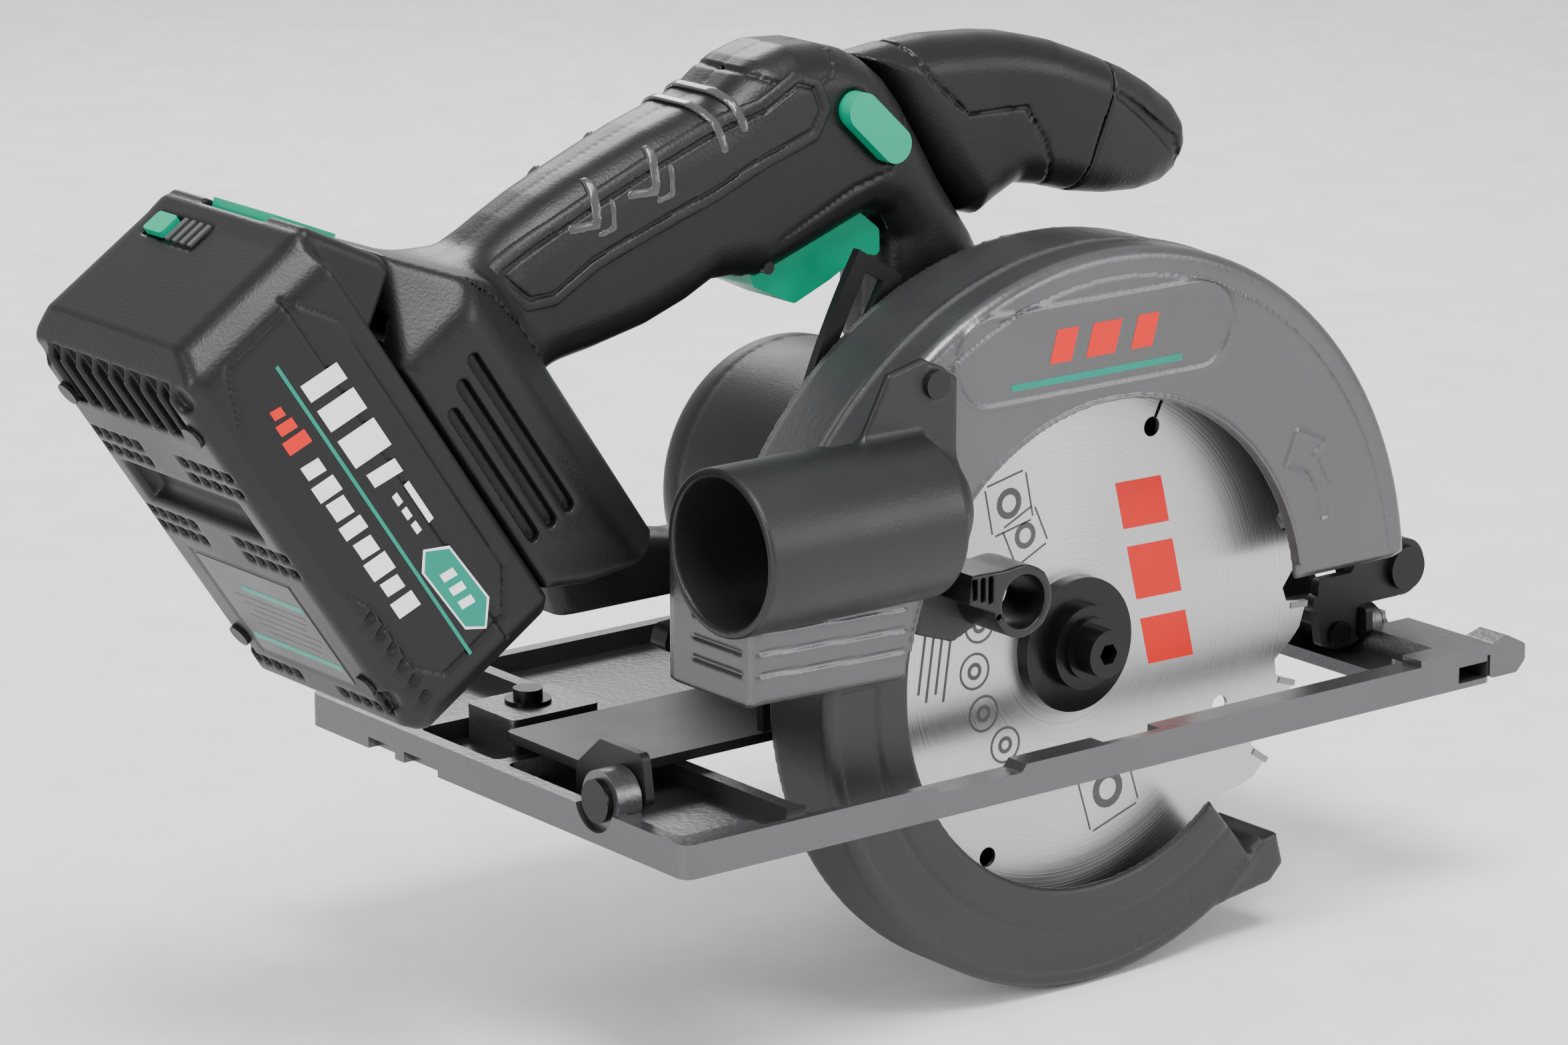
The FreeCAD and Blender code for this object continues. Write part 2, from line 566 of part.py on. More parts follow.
lever.cut("y", rounded([(-53.0, 59.0), (-53.5, 53.5), (-48.5, 51.0), (-47.0, 57.5)], 1.0), "-28", "-15")
spring = Piece("guard_spring")
spring.add("y", circle(0, axis_height, 19.0), "13.0", "14.4")
spring.cut("y", circle(0, axis_height, nose_radius + 0.4), "12", "15")

# ---- Gear case and motor ----------------------------------------------------------------------------
case = Piece("gear_case")
case.add("y", circle(0, axis_height, nose_radius), "5.4", "guard_left + 1")
case.add("y", circle(0, axis_height, 25.4), "guard_left", "case_end")
case.add("y", circle(motor_x, motor_z, 32.0), "guard_left + 4", "case_end")
case.add("y", rounded([(-38.0, 60.0), (-2.0, 60.0), (8.0, 98.0), (4.0, 101.5), (-36.0, 101.5),
                       (-40.0, 98.0)], 3),
         "guard_left + 5", "case_end")
case.add("y", rounded([(-62.0, 40.0), (-30.0, 38.0), (-30.0, 66.0), (-62.0, 64.0)], 2),
         "guard_left + 5", "case_end")
case.cut("y", circle(0, axis_height, 23.4), "26.0", "case_end - 4.4")
case.cut("y", circle(motor_x, motor_z, 12.0), "26.0", "case_end + 1")
case.cut("y", circle(0, axis_height, 9.4), "4", "26.5")
case.cut("y", circle(0, axis_height, 11.0), "12.0", "20.0")
case.cut("y", circle(0, axis_height, 9.5), "38.0", "case_end - 4")

housing = Piece("motor_housing")
housing.add("y", circle(motor_x, motor_z, motor_radius), "case_end", "motor_end - 12")
housing.cut("y", circle(motor_x, motor_z, motor_radius - housing_wall), "case_end - 1", "motor_end")
cap = Piece("motor_cap")
cap.add("y", circle(motor_x, motor_z, motor_radius), "motor_end - 12", "motor_end - 4")
cap.add("y", circle(motor_x, motor_z, motor_radius - 5), "motor_end - 4", "motor_end")
cap.cut("y", circle(motor_x, motor_z, motor_radius - housing_wall - 5), "motor_end - 13", "motor_end - 4")
for row in range(5):
    level = motor_z - 16 + 8 * row
    cap.cut("y", rounded([(motor_x - 20, level - 1.6), (motor_x + 20, level - 1.6),
                          (motor_x + 20, level + 1.6), (motor_x - 20, level + 1.6)], 1.5),
            "motor_end - 5", "motor_end + 1")
stator = Piece("stator")
stator.add("y", circle(motor_x, motor_z, motor_radius - housing_wall), "60.0", "90.0")
stator.cut("y", circle(motor_x, motor_z, 18.4), "59", "91")
drum("motor_bearing", "y", motor_x, motor_z,
     [(11.8, "case_end - 4", "case_end + 2", shaft_radius + running_gap)])
joined("bearings", ["bearing_front", "bearing_rear", "motor_bearing"])
brushes = []
for side in (-1, 1):
    brush = doc.addObject("Part::Box", "brush" + str((side + 1) // 2))
    brush.Length = 14.0
    brush.Width = 6.0
    brush.Height = 6.0
    brush.Placement = Placement(Vector(motor_x + side * 17.4 - 7.0, 92.0, motor_z - 3.0), Rotation())
    brushes.append(brush)
group("brushes", brushes)
brush_plate = Piece("brush_plate")
brush_plate.add("y", circle(motor_x, motor_z, motor_radius - housing_wall - 0.2), "98.0", "99.6")
brush_plate.cut("y", circle(motor_x, motor_z, 11.5), "97", "102")
for side in (-1, 1):
    low_x = motor_x + side * 19.4 - 6.0
    brush_plate.add("y", rectangle(low_x, motor_z - 6.0, low_x + 12.0, motor_z - 3.0), "91.0", "98.0")
    brush_plate.add("y", rectangle(low_x, motor_z + 3.0, low_x + 12.0, motor_z + 6.0), "91.0", "98.0")

# ---- Dust port ---------------------------------------------------------------------------------------
port = Piece("dust_port")
port.add("x", circle(tube_y, tube_z, tube_radius), str(tube_mouth), "-66.0")
port.cut("x", rectangle(guard_right, tube_z - 24, 10.0, tube_z + 24), "-90.2", "-60.0")
port.cut("x", circle(tube_y, tube_z, tube_bore), "-125.0", "-92.0")
port.add("y", rounded([(-74.0, 112.0), (-62.0, 114.0), (-52.0, 108.0), (-52.0, 80.0), (-57.0, 68.0),
                       (-65.5, 57.0), (-86.0, 60.0), (-86.0, 92.0)], 3), "guard_right - 2.6", "guard_right")
screws("dust_screw", [(-60.0, guard_right - 2.6, 107.0)], (0, -1, 0), "3.6", "1.8", "1.8", "8.0")

# ---- Handle, foot and bridge: two shells that meet in the grip's middle plane ------------------------
pack_turn = Rotation(Vector(0, 1, 0), pack_tilt)
pack_seat = Placement(Vector(-187.9, grip_middle, 109.7), pack_turn)


def pack_point(along, out):
    """A point of the battery's own frame in the side view: along its rails, and out towards the foot."""
    point = pack_seat.multVec(Vector(along, 0, out))
    return (point.x, point.z)


grip_points = [(-170.0, 137.0), (-153.0, 112.0), (-140.0, 108.0), (-134.0, 113.0), (-117.0, 117.0),
               (-100.0, 122.0),
               (-88.0, 127.0), (-77.0, 126.0), (-44.0, 139.0), (-34.0, 131.0), (-36.0, 112.0),
               (-36.0, 101.8),
               (4.0, 101.8), (2.0, 116.0), (-6.0, 130.0), (-18.0, 146.0), (-31.0, 166.0), (-43.0, 177.5),
               (-56.0, 183.0), (-67.0, 183.5), (-76.0, 181.0), (-86.0, 174.0), (-96.0, 171.0),
               (-120.0, 162.5), (-139.0, 154.5), (-156.0, 145.5)]
foot_points = [pack_point(*point) for point in ((-34, 17.5), (-19, 0.6), (52, 0.6), (60, 10), (70, 30),
                                                (70, foot_deep), (-12, foot_deep))]
bridge_points = [(-62.3, 40.0), (-62.3, 64.0), (-95.0, 64.0), (-116.0, 68.0), (-124.0, 76.0),
                 (-142.0, 66.0),
                 (-136.0, 50.0), (-112.0, 40.0)]
lock_x0, lock_z0 = -46.0, 162.0


def pill(x, z, half_length, radius, lean):
    """A slot-shaped outline leaning by an angle."""
    along = Vector(math.cos(math.radians(lean)), math.sin(math.radians(lean)), 0) * half_length
    end_one = (x - along.x, z - along.y)
    end_two = (x + along.x, z + along.y)
    first = arc(radius, lean + 90, lean + 270, *end_one)
    second = arc(radius, lean - 90, lean + 90, *end_two)
    return [first, Part.LineSegment(first.EndPoint, second.StartPoint), second,
            Part.LineSegment(second.EndPoint, first.StartPoint)]


def shell(node, side):
    """One shell; side is -1 for the right one and +1 for the left one."""
    def band(far, near):
        """The y range between two distances from the middle plane, on this shell's side."""
        if side < 0:
            return "grip_middle - (" + far + ")", "grip_middle - (" + near + ")"
        return "grip_middle + (" + near + ")", "grip_middle + (" + far + ")"

    piece = Piece(node)
    piece.add("y", rounded(grip_points, 5), *band("grip_half", "0"))
    piece.add("y", rounded(foot_points, 3), *band("pack_half", "0"))
    piece.add("y", rounded(bridge_points, 3), *band("9.2", "0"))
    piece.cut("y", corners(inset(grip_points, housing_wall)), *band("grip_half - housing_wall", "0"))
    room = [pack_point(*point) for point in ((-14, 14), (48, 14), (56, 17), (64, 31), (64, 34), (-8, 34))]
    piece.cut("y", corners(room), *band("pack_half - housing_wall", "0"))
    duct = [(-60.0, 43.0), (-60.0, 61.0), (-97.0, 61.0), (-118.0, 64.0), (-132.0, 62.0), (-112.0, 43.0)]
    piece.cut("y", corners(duct), *band("9.2 - housing_wall", "0"))
    neck = [pack_point(*point) for point in ((-45, -5), (-45, 4), (46, 4), (46, -5))]
    piece.cut("y", corners(neck), *band("20.0", "0"))
    head = [pack_point(*point) for point in ((-45, 4), (-45, 9), (46, 9), (46, 4))]
    piece.cut("y", corners(head), *band("25.0", "0"))
    piece.cut("y", corners([(-79.0, 121.0), (-36.0, 126.0), (-34.5, 139.0), (-45.0, 147.0),
                            (-79.0, 134.0)]),
              *band("9.4", "0"))
    piece.cut("y", pill(lock_x0, lock_z0, 7.0, 5.0, -43), *band("grip_half + 1", "grip_half - 4"))
    return piece


right_shell = shell("handle_right", -1)
right_shell.cut("x", circle(tube_y, tube_z, tube_radius + 1.5), "-126", "-100")
shell("handle_left", 1)
screws("handle_screws", [(-150.0, grip_middle - grip_half, 135.0), (-112.0, grip_middle - grip_half, 124.5),
                         (-24.0, grip_middle - grip_half, 108.0)],
       (0, -1, 0), "2.8", "0.8", "1.4", "2.4")

overmould_points = [(-158.0, 139.5), (-146.0, 129.0), (-93.0, 149.0), (-63.0, 160.0), (-58.0, 168.0),
                    (-66.0, 179.0), (-90.0, 170.0), (-120.0, 159.0), (-140.0, 151.0)]
for node, low, high in (("grip_pad_right", "grip_middle - grip_half - 1.0", "grip_middle - grip_half"),
                        ("grip_pad_left", "grip_middle + grip_half", "grip_middle + grip_half + 1.0")):
    pad = Piece(node)
    pad.add("y", rounded(overmould_points, 4), low, high)
joined("grip_pads", ["grip_pad_right", "grip_pad_left"])

front_seam = 36.0
front = Piece("front_handle")
front.add("y", rounded([(-42.4, 177.9), (-30.4, 166.4), (-17.4, 146.4), (-5.4, 130.4), (8.0, 140.0),
                        (19.0, 137.0),
                        (front_seam, 133.5), (front_seam, 169.0), (21.0, 175.5), (2.0, 179.0),
                        (-17.0, 180.0),
                        (-30.0, 179.0)], 3), "grip_middle - 15", "grip_middle + 15")
nose = Piece("front_handle_cap")
nose.add("y", rounded([(front_seam, 133.5), (53.0, 132.5), (62.0, 136.0), (66.5, 144.0), (64.0, 152.0),
                       (52.0, 161.0), (front_seam, 169.0)], 5), "grip_middle - 15", "grip_middle + 15")

# ---- Trigger, lock-off and the electrics inside -------------------------------------------------------
pivot_x, pivot_z = -76.0, 130.0
trigger = Piece("trigger")
trigger.add("y", rounded([(-79.0, 133.0), (-77.0, 124.5), (-64.0, 118.5), (-53.0, 123.0), (-46.0, 126.6),
                          (-41.0, 128.0), (-37.0, 127.0), (-37.2, 134.0), (-46.0, 141.0)], 2),
            "grip_middle - 9", "grip_middle + 9")
trigger.cut("y", circle(pivot_x, pivot_z, 1.6 + running_gap), "grip_middle - 10", "grip_middle + 10")
drum("trigger_pin", "y", pivot_x, pivot_z, [(1.6, "grip_middle - 14.4", "grip_middle + 14.4")])
button = Piece("lock_off")
button.add("y", pill(lock_x0, lock_z0, 7.0, 4.6, -43), "grip_middle - grip_half - 3.5",
           "grip_middle + grip_half + 3.5")
switch = Piece("switch")
switch.add("y", rounded([(-88.0, 139.5), (-60.0, 144.0), (-60.0, 158.0), (-88.0, 158.0)], 1.5),
           "grip_middle - 8", "grip_middle + 8")
plunger = Piece("switch_plunger")
plunger.add("y", rectangle(-60.0, 145.0, -56.0, 149.0), "grip_middle - 3", "grip_middle + 3")
board = Piece("controller", pack_seat)
board.add("z", rectangle(-4.0, -26.0, 44.0, 26.0), "18.0", "20.0")
board.add("z", rectangle(4.0, -18.0, 34.0, 18.0), "20.0", "28.0")
contacts = Piece("foot_terminals", pack_seat)
contacts.add("z", rectangle(42.0, -16.0, 46.0, 16.0), "9.2", "18.0")
contacts.add("z", rectangle(45.9, -14.0, 46.0, 14.0), "2.0", "9.2")
for side in (-9.0, -3.0, 3.0, 9.0):
    contacts.add("z", rectangle(32.0, side - 0.5, 46.0, side + 0.5), "3.0", "9.3")

# ---- Battery ------------------------------------------------------------------------------------------
shoulder = [(-58.0, -1.0), (-60.0, 3.0), (-40.0, 15.0), (-36.5, 15.0), (-25.0, -1.0)]
front_case = Piece("battery_front_case", pack_seat)
front_case.add("z", rounded([(-60.0, -36.0), (60.0, -36.0), (60.0, 36.0), (-60.0, 36.0)], 5), "-14.0", "0")
front_case.add("y", rounded(shoulder, 2), "-30", "30")
front_case.add("z", rectangle(-22.0, -19.4, 45.0, 19.4), "-1.0", "4.6")
front_case.add("z", rectangle(-22.0, -24.4, 45.0, 24.4), "4.6", "8.4")
front_case.cut("z", rounded([(-57.4, -33.4), (57.4, -33.4), (57.4, 33.4), (-57.4, 33.4)], 3), "-15.0",
               "-2.6")
for side in (-9.0, -3.0, 3.0, 9.0):
    front_case.cut("z", rectangle(28.0, side - 1.2, 46.0, side + 1.2), "1.4", "10.0")
front_case.cut("y", corners([(-64.0, 3.5), (-55.2, -1.2), (-39.4, 8.0), (-44.0, 17.0)]), "-13.5", "13.5")
front_case.cut("x", rectangle(13.5, -11.5, 22.5, -4.5), "-61.0", "-58.2")
rear_case = Piece("battery_rear_case", pack_seat)
rear_case.add("z", rounded([(-60.0, -36.0), (60.0, -36.0), (60.0, 36.0), (-60.0, 36.0)], 5), "-pack_deep",
              "-14.0")
rear_case.cut("z", rounded([(-57.4, -33.4), (57.4, -33.4), (57.4, 33.4), (-57.4, 33.4)], 3),
              "-pack_deep + 2.6", "-13.0")
for side in (-1, 1):
    rear_case.cut("x", corners([(side * 31.0, -50.0), (side * 40.0, -50.0), (side * 40.0, -41.0)]), "-61",
                  "61")
rear_case.cut("y", corners([(-62.0, -48.0), (-48.0, -48.0), (-62.0, -36.0)]), "-40", "40")
rear_case.cut("y", corners([(62.0, -48.0), (54.0, -48.0), (62.0, -40.0)]), "-40", "40")
cells = []
for layer in (-34.2, -15.0):
    for column in range(5):
        solid = cylinder("cell" + str(len(cells)), "cell_radius", "2 * cell_half", (0, 0, 0), (0, 1, 0))
        spot = pack_seat.multVec(Vector((column - 2) * 19.0, 0, layer)) - Vector(0, cell_half, 0)
        solid.Placement = Placement(spot, Rotation(Vector(0, 0, 1), Vector(0, 1, 0)))
        cells.append(solid)
group("battery_cells", cells)
contacts_in = Piece("battery_terminals", pack_seat)
contacts_in.add("z", rectangle(50.0, -30.0, 57.0, 30.0), "-12.0", "-2.8")
for node, low, high in (("battery_label_right", "-pack_half - 0.5", "-pack_half"),
                        ("battery_label_left", "pack_half", "pack_half + 0.5")):
    label = Piece(node, pack_seat)
    label.add("y", rounded([(-52.0, -10.0), (-45.0, -3.0), (50.0, -3.0), (56.0, -10.0), (56.0, -30.0),
                            (30.0, -36.0), (-30.0, -36.0), (-48.0, -30.0)], 2), low, high)
joined("battery_labels", ["battery_label_right", "battery_label_left"])
release = Piece("battery_release", pack_seat)
release.add("y", corners([(-59.0, 4.6), (-56.6, 1.8), (-42.0, 10.4), (-44.4, 14.4)]), "-13", "13")
gauge = Piece("gauge_button", pack_seat)
gauge.add("x", rounded([(14.0, -11.0), (22.0, -11.0), (22.0, -5.0), (14.0, -5.0)], 1), "-61.2", "-59.4")
lights = []
for mark in range(4):
    light = doc.addObject("Part::Box", "gauge_light" + str(mark))
    light.Length = 0.6
    light.Width = 1.6
    light.Height = 7.0
    light.Placement = Placement(pack_seat.multVec(Vector(-60.6, 1.0 + 3.2 * mark, -11.5)), pack_turn)
    lights.append(light)
group("gauge_lights", lights)
pack_screw_list = []
for along in (-50.0, 50.0):
    for side in (-27.0, 27.0):
        solid = cylinder("pack_screw" + str(len(pack_screw_list)), "3.0", "1.0", (0, 0, 0), (0, 0, 1))
        solid.Placement = Placement(pack_seat.multVec(Vector(along * 0.8, side, -pack_deep - 1.0)),
                                    pack_turn)
        pack_screw_list.append(solid)
group("battery_screws", pack_screw_list)

# ---- Controls of bevel and depth ----------------------------------------------------------------------
knob = Piece("bevel_knob")
knob.add("x", circle(knob_side, knob_up, 2.9), "base_front - 22", "base_front - 10.4")
knob.add("x", circle(knob_side, knob_up, 4.8), "base_front - 10.4", "base_front - 6")
knob.add("x", rounded([(knob_side - 4, knob_up - 4), (knob_side + 4, knob_up - 4),
                       (knob_side + 26, knob_up + 1),
                       (knob_side + 26, knob_up + 7), (knob_side - 4, knob_up + 5)], 2),
         "base_front - 9", "base_front - 4")
knob.add("x", circle(knob_side, knob_up, 5.0), "base_front - 22", "base_front - 18.3")
depth_lock = Piece("depth_lever")
depth_lock.add("y", circle(lock_x, lock_z, 2.4), "guard_left - 2.8", "29.0")
depth_lock.add("y", circle(lock_x, lock_z, 7.0), "22.2", "29.0")
depth_lock.add("y", rounded([(lock_x, lock_z - 5), (lock_x, lock_z + 5), (lock_x - 34, lock_z + 3),
                             (lock_x - 36, lock_z - 3)], 2), "24.0", "30.0")

# ---- Checks and files ---------------------------------------------------------------------------------
doc.recompute()
for item in doc.Objects:
    for state in ("Invalid", "Error"):
        if state in item.State:
            raise RuntimeError(item.Name + " is " + state)
os.makedirs("parts", exist_ok=True)
for node, item in sub_parts.items():
    if item.Shape.isNull() or not item.Shape.isValid():
        raise RuntimeError(node + " has no valid shape")
    item.Shape.exportStep("parts/" + node + ".step")
    box = item.Shape.BoundBox
    print(node, len(item.Shape.Solids), round(item.Shape.Volume), [round(v, 1) for v in (
        box.XMin, box.YMin, box.ZMin, box.XMax, box.YMax, box.ZMax)])
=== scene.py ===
# %% [markdown]
# # A cordless circular saw
# The CAD model gives the frame: every body, joint and size. This lesson dresses it. Small metal pieces,
# the buttons and everything inside keep their CAD shape and get a finish, and most that show get an edge
# bevel. The cast guards and the large mouldings are modelled again here as distance fields, because a
# field blends one form into the next as a mould does. All lengths in the fields are millimetres; `MM`
# turns them into metres when a mesh is made.

# %% Frame
import math
import bpy
import numpy as np
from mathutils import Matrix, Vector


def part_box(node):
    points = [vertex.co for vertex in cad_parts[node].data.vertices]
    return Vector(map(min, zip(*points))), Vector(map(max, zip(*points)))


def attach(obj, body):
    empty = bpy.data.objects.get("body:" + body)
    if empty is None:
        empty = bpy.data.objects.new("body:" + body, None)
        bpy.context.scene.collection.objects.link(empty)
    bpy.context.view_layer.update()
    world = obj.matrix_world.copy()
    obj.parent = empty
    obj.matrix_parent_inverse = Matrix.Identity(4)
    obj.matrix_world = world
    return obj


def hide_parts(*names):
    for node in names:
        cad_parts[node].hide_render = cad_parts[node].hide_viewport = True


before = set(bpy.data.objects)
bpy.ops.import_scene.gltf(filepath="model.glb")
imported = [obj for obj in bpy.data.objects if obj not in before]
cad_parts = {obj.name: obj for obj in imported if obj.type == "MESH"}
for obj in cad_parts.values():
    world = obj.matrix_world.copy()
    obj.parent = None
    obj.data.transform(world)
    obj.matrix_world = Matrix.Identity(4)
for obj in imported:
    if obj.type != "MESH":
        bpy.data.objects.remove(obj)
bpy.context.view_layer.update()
import openvdb
from mathutils import Matrix, Vector

MM = 0.001
print("frame loaded with", len(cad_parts), "nodes")

# %% [markdown]
# ## The sizes shared with the frame
# The blade's axis, the grip's middle plane and the battery's seat are the same as in the CAD model, and
# the boxes of its nodes give the rest, so a field lines up with the pieces that keep their CAD shape.

# %% Shared places
AXIS_HEIGHT = 27.5
GRIP_MIDDLE = 40.0
PACK_TILT = math.radians(56)
PACK_SEAT = Vector((-187.9, GRIP_MIDDLE, 109.7))
PACK_ALONG = Vector((math.cos(PACK_TILT), 0, -math.sin(PACK_TILT)))
PACK_OUT = Vector((math.sin(PACK_TILT), 0, math.cos(PACK_TILT)))
MOTOR_X = 27 * math.cos(math.radians(114))
MOTOR_Z = AXIS_HEIGHT + 27 * math.sin(math.radians(114))
print("motor axis at", round(MOTOR_X, 1), round(MOTOR_Z, 1))

# %% [markdown]
# ## Distance fields
# A field holds, at each point of a grid, the distance to a surface: negative inside, positive outside.
# Boolean modifiers could cut and join meshes instead, but they leave sharp edges where a mould leaves
# fillets. The grid keeps its three axes thin, and they spread to a full block only where a formula mixes
# them.


# %% Sample grid
class Grid:
    """A block of sample points with a spacing, in the row frame or in the battery's own frame."""

    def __init__(self, low, high, step):
        self.low = np.array(low, float) - 2.5 * step
        self.step = step
        count = np.ceil((np.array(high, float) + 2.5 * step - self.low) / step).astype(int) + 1
        axes = [self.low[i] + step * np.arange(count[i]) for i in range(3)]
        self.x = axes[0][:, None, None].astype(np.float32)
        self.y = axes[1][None, :, None].astype(np.float32)
        self.z = axes[2][None, None, :].astype(np.float32)


print("sample grids ready")

# %% [markdown]
# ## Joining and cutting
# A union is the smaller of two fields, and what two forms share is the larger. A cut is a union seen from
# the inside, with the signs turned. The smooth kinds mix the two fields where they meet, which leaves a
# fillet.


# %% Joining and cutting
def smooth_union(a, b, blend):
    mix = np.clip(0.5 + 0.5 * (b - a) / blend, 0, 1)
    return b * (1 - mix) + a * mix - blend * mix * (1 - mix)


def smooth_cut(a, b, blend):
    """Field a with b taken away, its edge rounded by the blend."""
    return -smooth_union(-a, b, blend)


def union(*fields):
    return np.minimum.reduce(np.broadcast_arrays(*fields))


def both(*fields):
    return np.maximum.reduce(np.broadcast_arrays(*fields))


print("fields can be joined and cut")

# %% [markdown]
# ## Plain forms
# Moulded and cast pieces are mostly a side view with a thickness. So a polygon gives the side view, two
# planes give the thickness, and the two together are rounded over at the edges. A band along some points
# makes the narrow grooves and ribs.


# %% Plain forms
def outline(u, v, points):
    """Signed distance from (u, v) to a closed polygon."""
    u, v = np.broadcast_arrays(u, v)
    nearest = np.full(u.shape, 1e9, np.float32)
    inside = np.zeros(u.shape, bool)
    for (au, av), (bu, bv) in zip(points, points[1:] + points[:1]):
        du, dv = bu - au, bv - av
        t = np.clip(((u - au) * du + (v - av) * dv) / (du * du + dv * dv), 0, 1)
        nearest = np.minimum(nearest, (u - au - t * du) ** 2 + (v - av - t * dv) ** 2)
        if dv != 0:
            crosses = (av > v) != (bv > v)
            inside ^= crosses & (u < du * (v - av) / dv + au)
    distance = np.sqrt(nearest)
    return np.where(inside, -distance, distance)


def slab(w, low, high):
    """Distance to the space between two planes."""
    return np.abs(w - (low + high) / 2) - (high - low) / 2


def extruded(flat, thickness, radius):
    """A flat outline's distance given a thickness, its edges rounded by a radius."""
    a = flat + radius
    b = thickness + radius
    return np.sqrt(np.maximum(a, 0) ** 2 + np.maximum(b, 0) ** 2) + np.minimum(np.maximum(a, b), 0) - radius


def capsule(u, v, w, a, b, radius):
    """Distance to a round-ended bar from a to b."""
    a = np.array(a, float)
    b = np.array(b, float)
    d = b - a
    t = np.clip(((u - a[0]) * d[0] + (v - a[1]) * d[1] + (w - a[2]) * d[2]) / (d @ d), 0, 1)
    du, dv, dw = u - a[0] - t * d[0], v - a[1] - t * d[1], w - a[2] - t * d[2]
    return np.sqrt(du ** 2 + dv ** 2 + dw ** 2) - radius


def line(u, v, points, half_width):
    """Distance to a thin flat band that runs through the points."""
    nearest = None
    for (au, av), (bu, bv) in zip(points, points[1:]):
        du, dv = bu - au, bv - av
        t = np.clip(((u - au) * du + (v - av) * dv) / (du * du + dv * dv), 0, 1)
        distance = (u - au - t * du) ** 2 + (v - av - t * dv) ** 2
        nearest = distance if nearest is None else np.minimum(nearest, distance)
    return np.sqrt(nearest) - half_width


def round_bar(u, v, centre, radius):
    """Distance to an endless round bar that stands square to u and v."""
    return np.sqrt((u - centre[0]) ** 2 + (v - centre[1]) ** 2) - radius


print("plain forms ready")

# %% [markdown]
# ## From field to mesh
# OpenVDB lays quads along a field's zero level. Only the values near that level matter, so the rest are
# clipped to a narrow band. The corners of each quad are taken backwards, so that the faces look outwards.


# %% Field to mesh
def mesh_piece(name, grid, field, matrix=None):
    """Lays a mesh on a field's zero level and shades it smooth."""
    shape = np.broadcast(grid.x, grid.y, grid.z).shape
    values = np.ascontiguousarray(np.broadcast_to(field, shape), np.float32)
    band = 4 * grid.step
    volume = openvdb.FloatGrid(float(band))
    volume.copyFromArray(np.clip(values, -band, band))
    points, quads = volume.convertToQuads(0.0)
    points = (points * grid.step + grid.low) * MM
    mesh = bpy.data.meshes.new(name)
    mesh.from_pydata(points.tolist(), [], quads[:, ::-1].tolist())
    if matrix:
        mesh.transform(matrix)
    mesh.update()
    mesh.shade_smooth()
    piece = bpy.data.objects.new(name, mesh)
    bpy.context.collection.objects.link(piece)
    print(name, len(mesh.polygons), "faces")
    return piece


print("fields can become pieces")

# %% [markdown]
# ## Finishes
# Each finish is a small node tree on the object's own coordinates. A slow noise makes the tone and the
# roughness uneven, as handling and moulding do, and a fine one gives the bump: the plastic's spark-eroded
# grain, or the slight orange peel of metallic paint on the cast parts.


# %% Material helper
def finish(name, colour, roughness, metallic=0.0, grain=0.0, grain_scale=900.0, spread=0.05, coat=0.0,
           specular=0.5):
    """A plain finish with a little uneven roughness and a fine bump."""
    material = bpy.data.materials.new(name)
    material.use_nodes = True
    nodes = material.node_tree.nodes
    links = material.node_tree.links
    shader = nodes["Principled BSDF"]
    shader.inputs["Metallic"].default_value = metallic
    shader.inputs["Coat Weight"].default_value = coat
    shader.inputs["Specular IOR Level"].default_value = specular
    place = nodes.new("ShaderNodeTexCoord")
    cloud = nodes.new("ShaderNodeTexNoise")
    cloud.inputs["Scale"].default_value = 38.0
    cloud.inputs["Detail"].default_value = 5.0
    links.new(place.outputs["Object"], cloud.inputs["Vector"])
    rough = nodes.new("ShaderNodeMapRange")
    rough.inputs["From Min"].default_value = 0.3
    rough.inputs["From Max"].default_value = 0.7
    rough.inputs["To Min"].default_value = max(roughness - spread, 0.02)
    rough.inputs["To Max"].default_value = roughness + spread
    links.new(cloud.outputs["Fac"], rough.inputs["Value"])
    links.new(rough.outputs["Result"], shader.inputs["Roughness"])
    tone = nodes.new("ShaderNodeMix")
    tone.data_type = "RGBA"
    tone.inputs["A"].default_value = (*[c * 0.88 for c in colour], 1)
    tone.inputs["B"].default_value = (*[min(c * 1.12, 1) for c in colour], 1)
    links.new(cloud.outputs["Fac"], tone.inputs["Factor"])
    links.new(tone.outputs["Result"], shader.inputs["Base Color"])
    if grain:
        speck = nodes.new("ShaderNodeTexNoise")
        speck.inputs["Scale"].default_value = grain_scale
        speck.inputs["Detail"].default_value = 2.0
        links.new(place.outputs["Object"], speck.inputs["Vector"])
        bump = nodes.new("ShaderNodeBump")
        bump.inputs["Strength"].default_value = grain
        bump.inputs["Distance"].default_value = 0.0002
        links.new(speck.outputs["Fac"], bump.inputs["Height"])
        links.new(bump.outputs["Normal"], shader.inputs["Normal"])
    return material


PLASTIC = finish("black_plastic", (0.006, 0.006, 0.0064), 0.4, grain=0.35, grain_scale=1300,
                 specular=0.28)
PLASTIC_DARK = finish("motor_plastic", (0.014, 0.014, 0.015), 0.5, grain=0.35, grain_scale=1300,
                      specular=0.35)
SMOOTH_PLASTIC = finish("smooth_black_plastic", (0.006, 0.006, 0.0065), 0.3, grain=0.08, grain_scale=600,
                        specular=0.35)
RUBBER = finish("soft_grip", (0.008, 0.008, 0.0085), 0.46, grain=0.6, grain_scale=1000, specular=0.3)
CHEVRON = finish("grip_mark", (0.045, 0.045, 0.047), 0.2)
PORT_PLASTIC = finish("port_plastic", (0.011, 0.011, 0.0115), 0.42, grain=0.3, grain_scale=1200,
                      specular=0.35)
CAST = finish("cast_paint", (0.105, 0.105, 0.108), 0.34, metallic=0.75, grain=0.5, grain_scale=700)
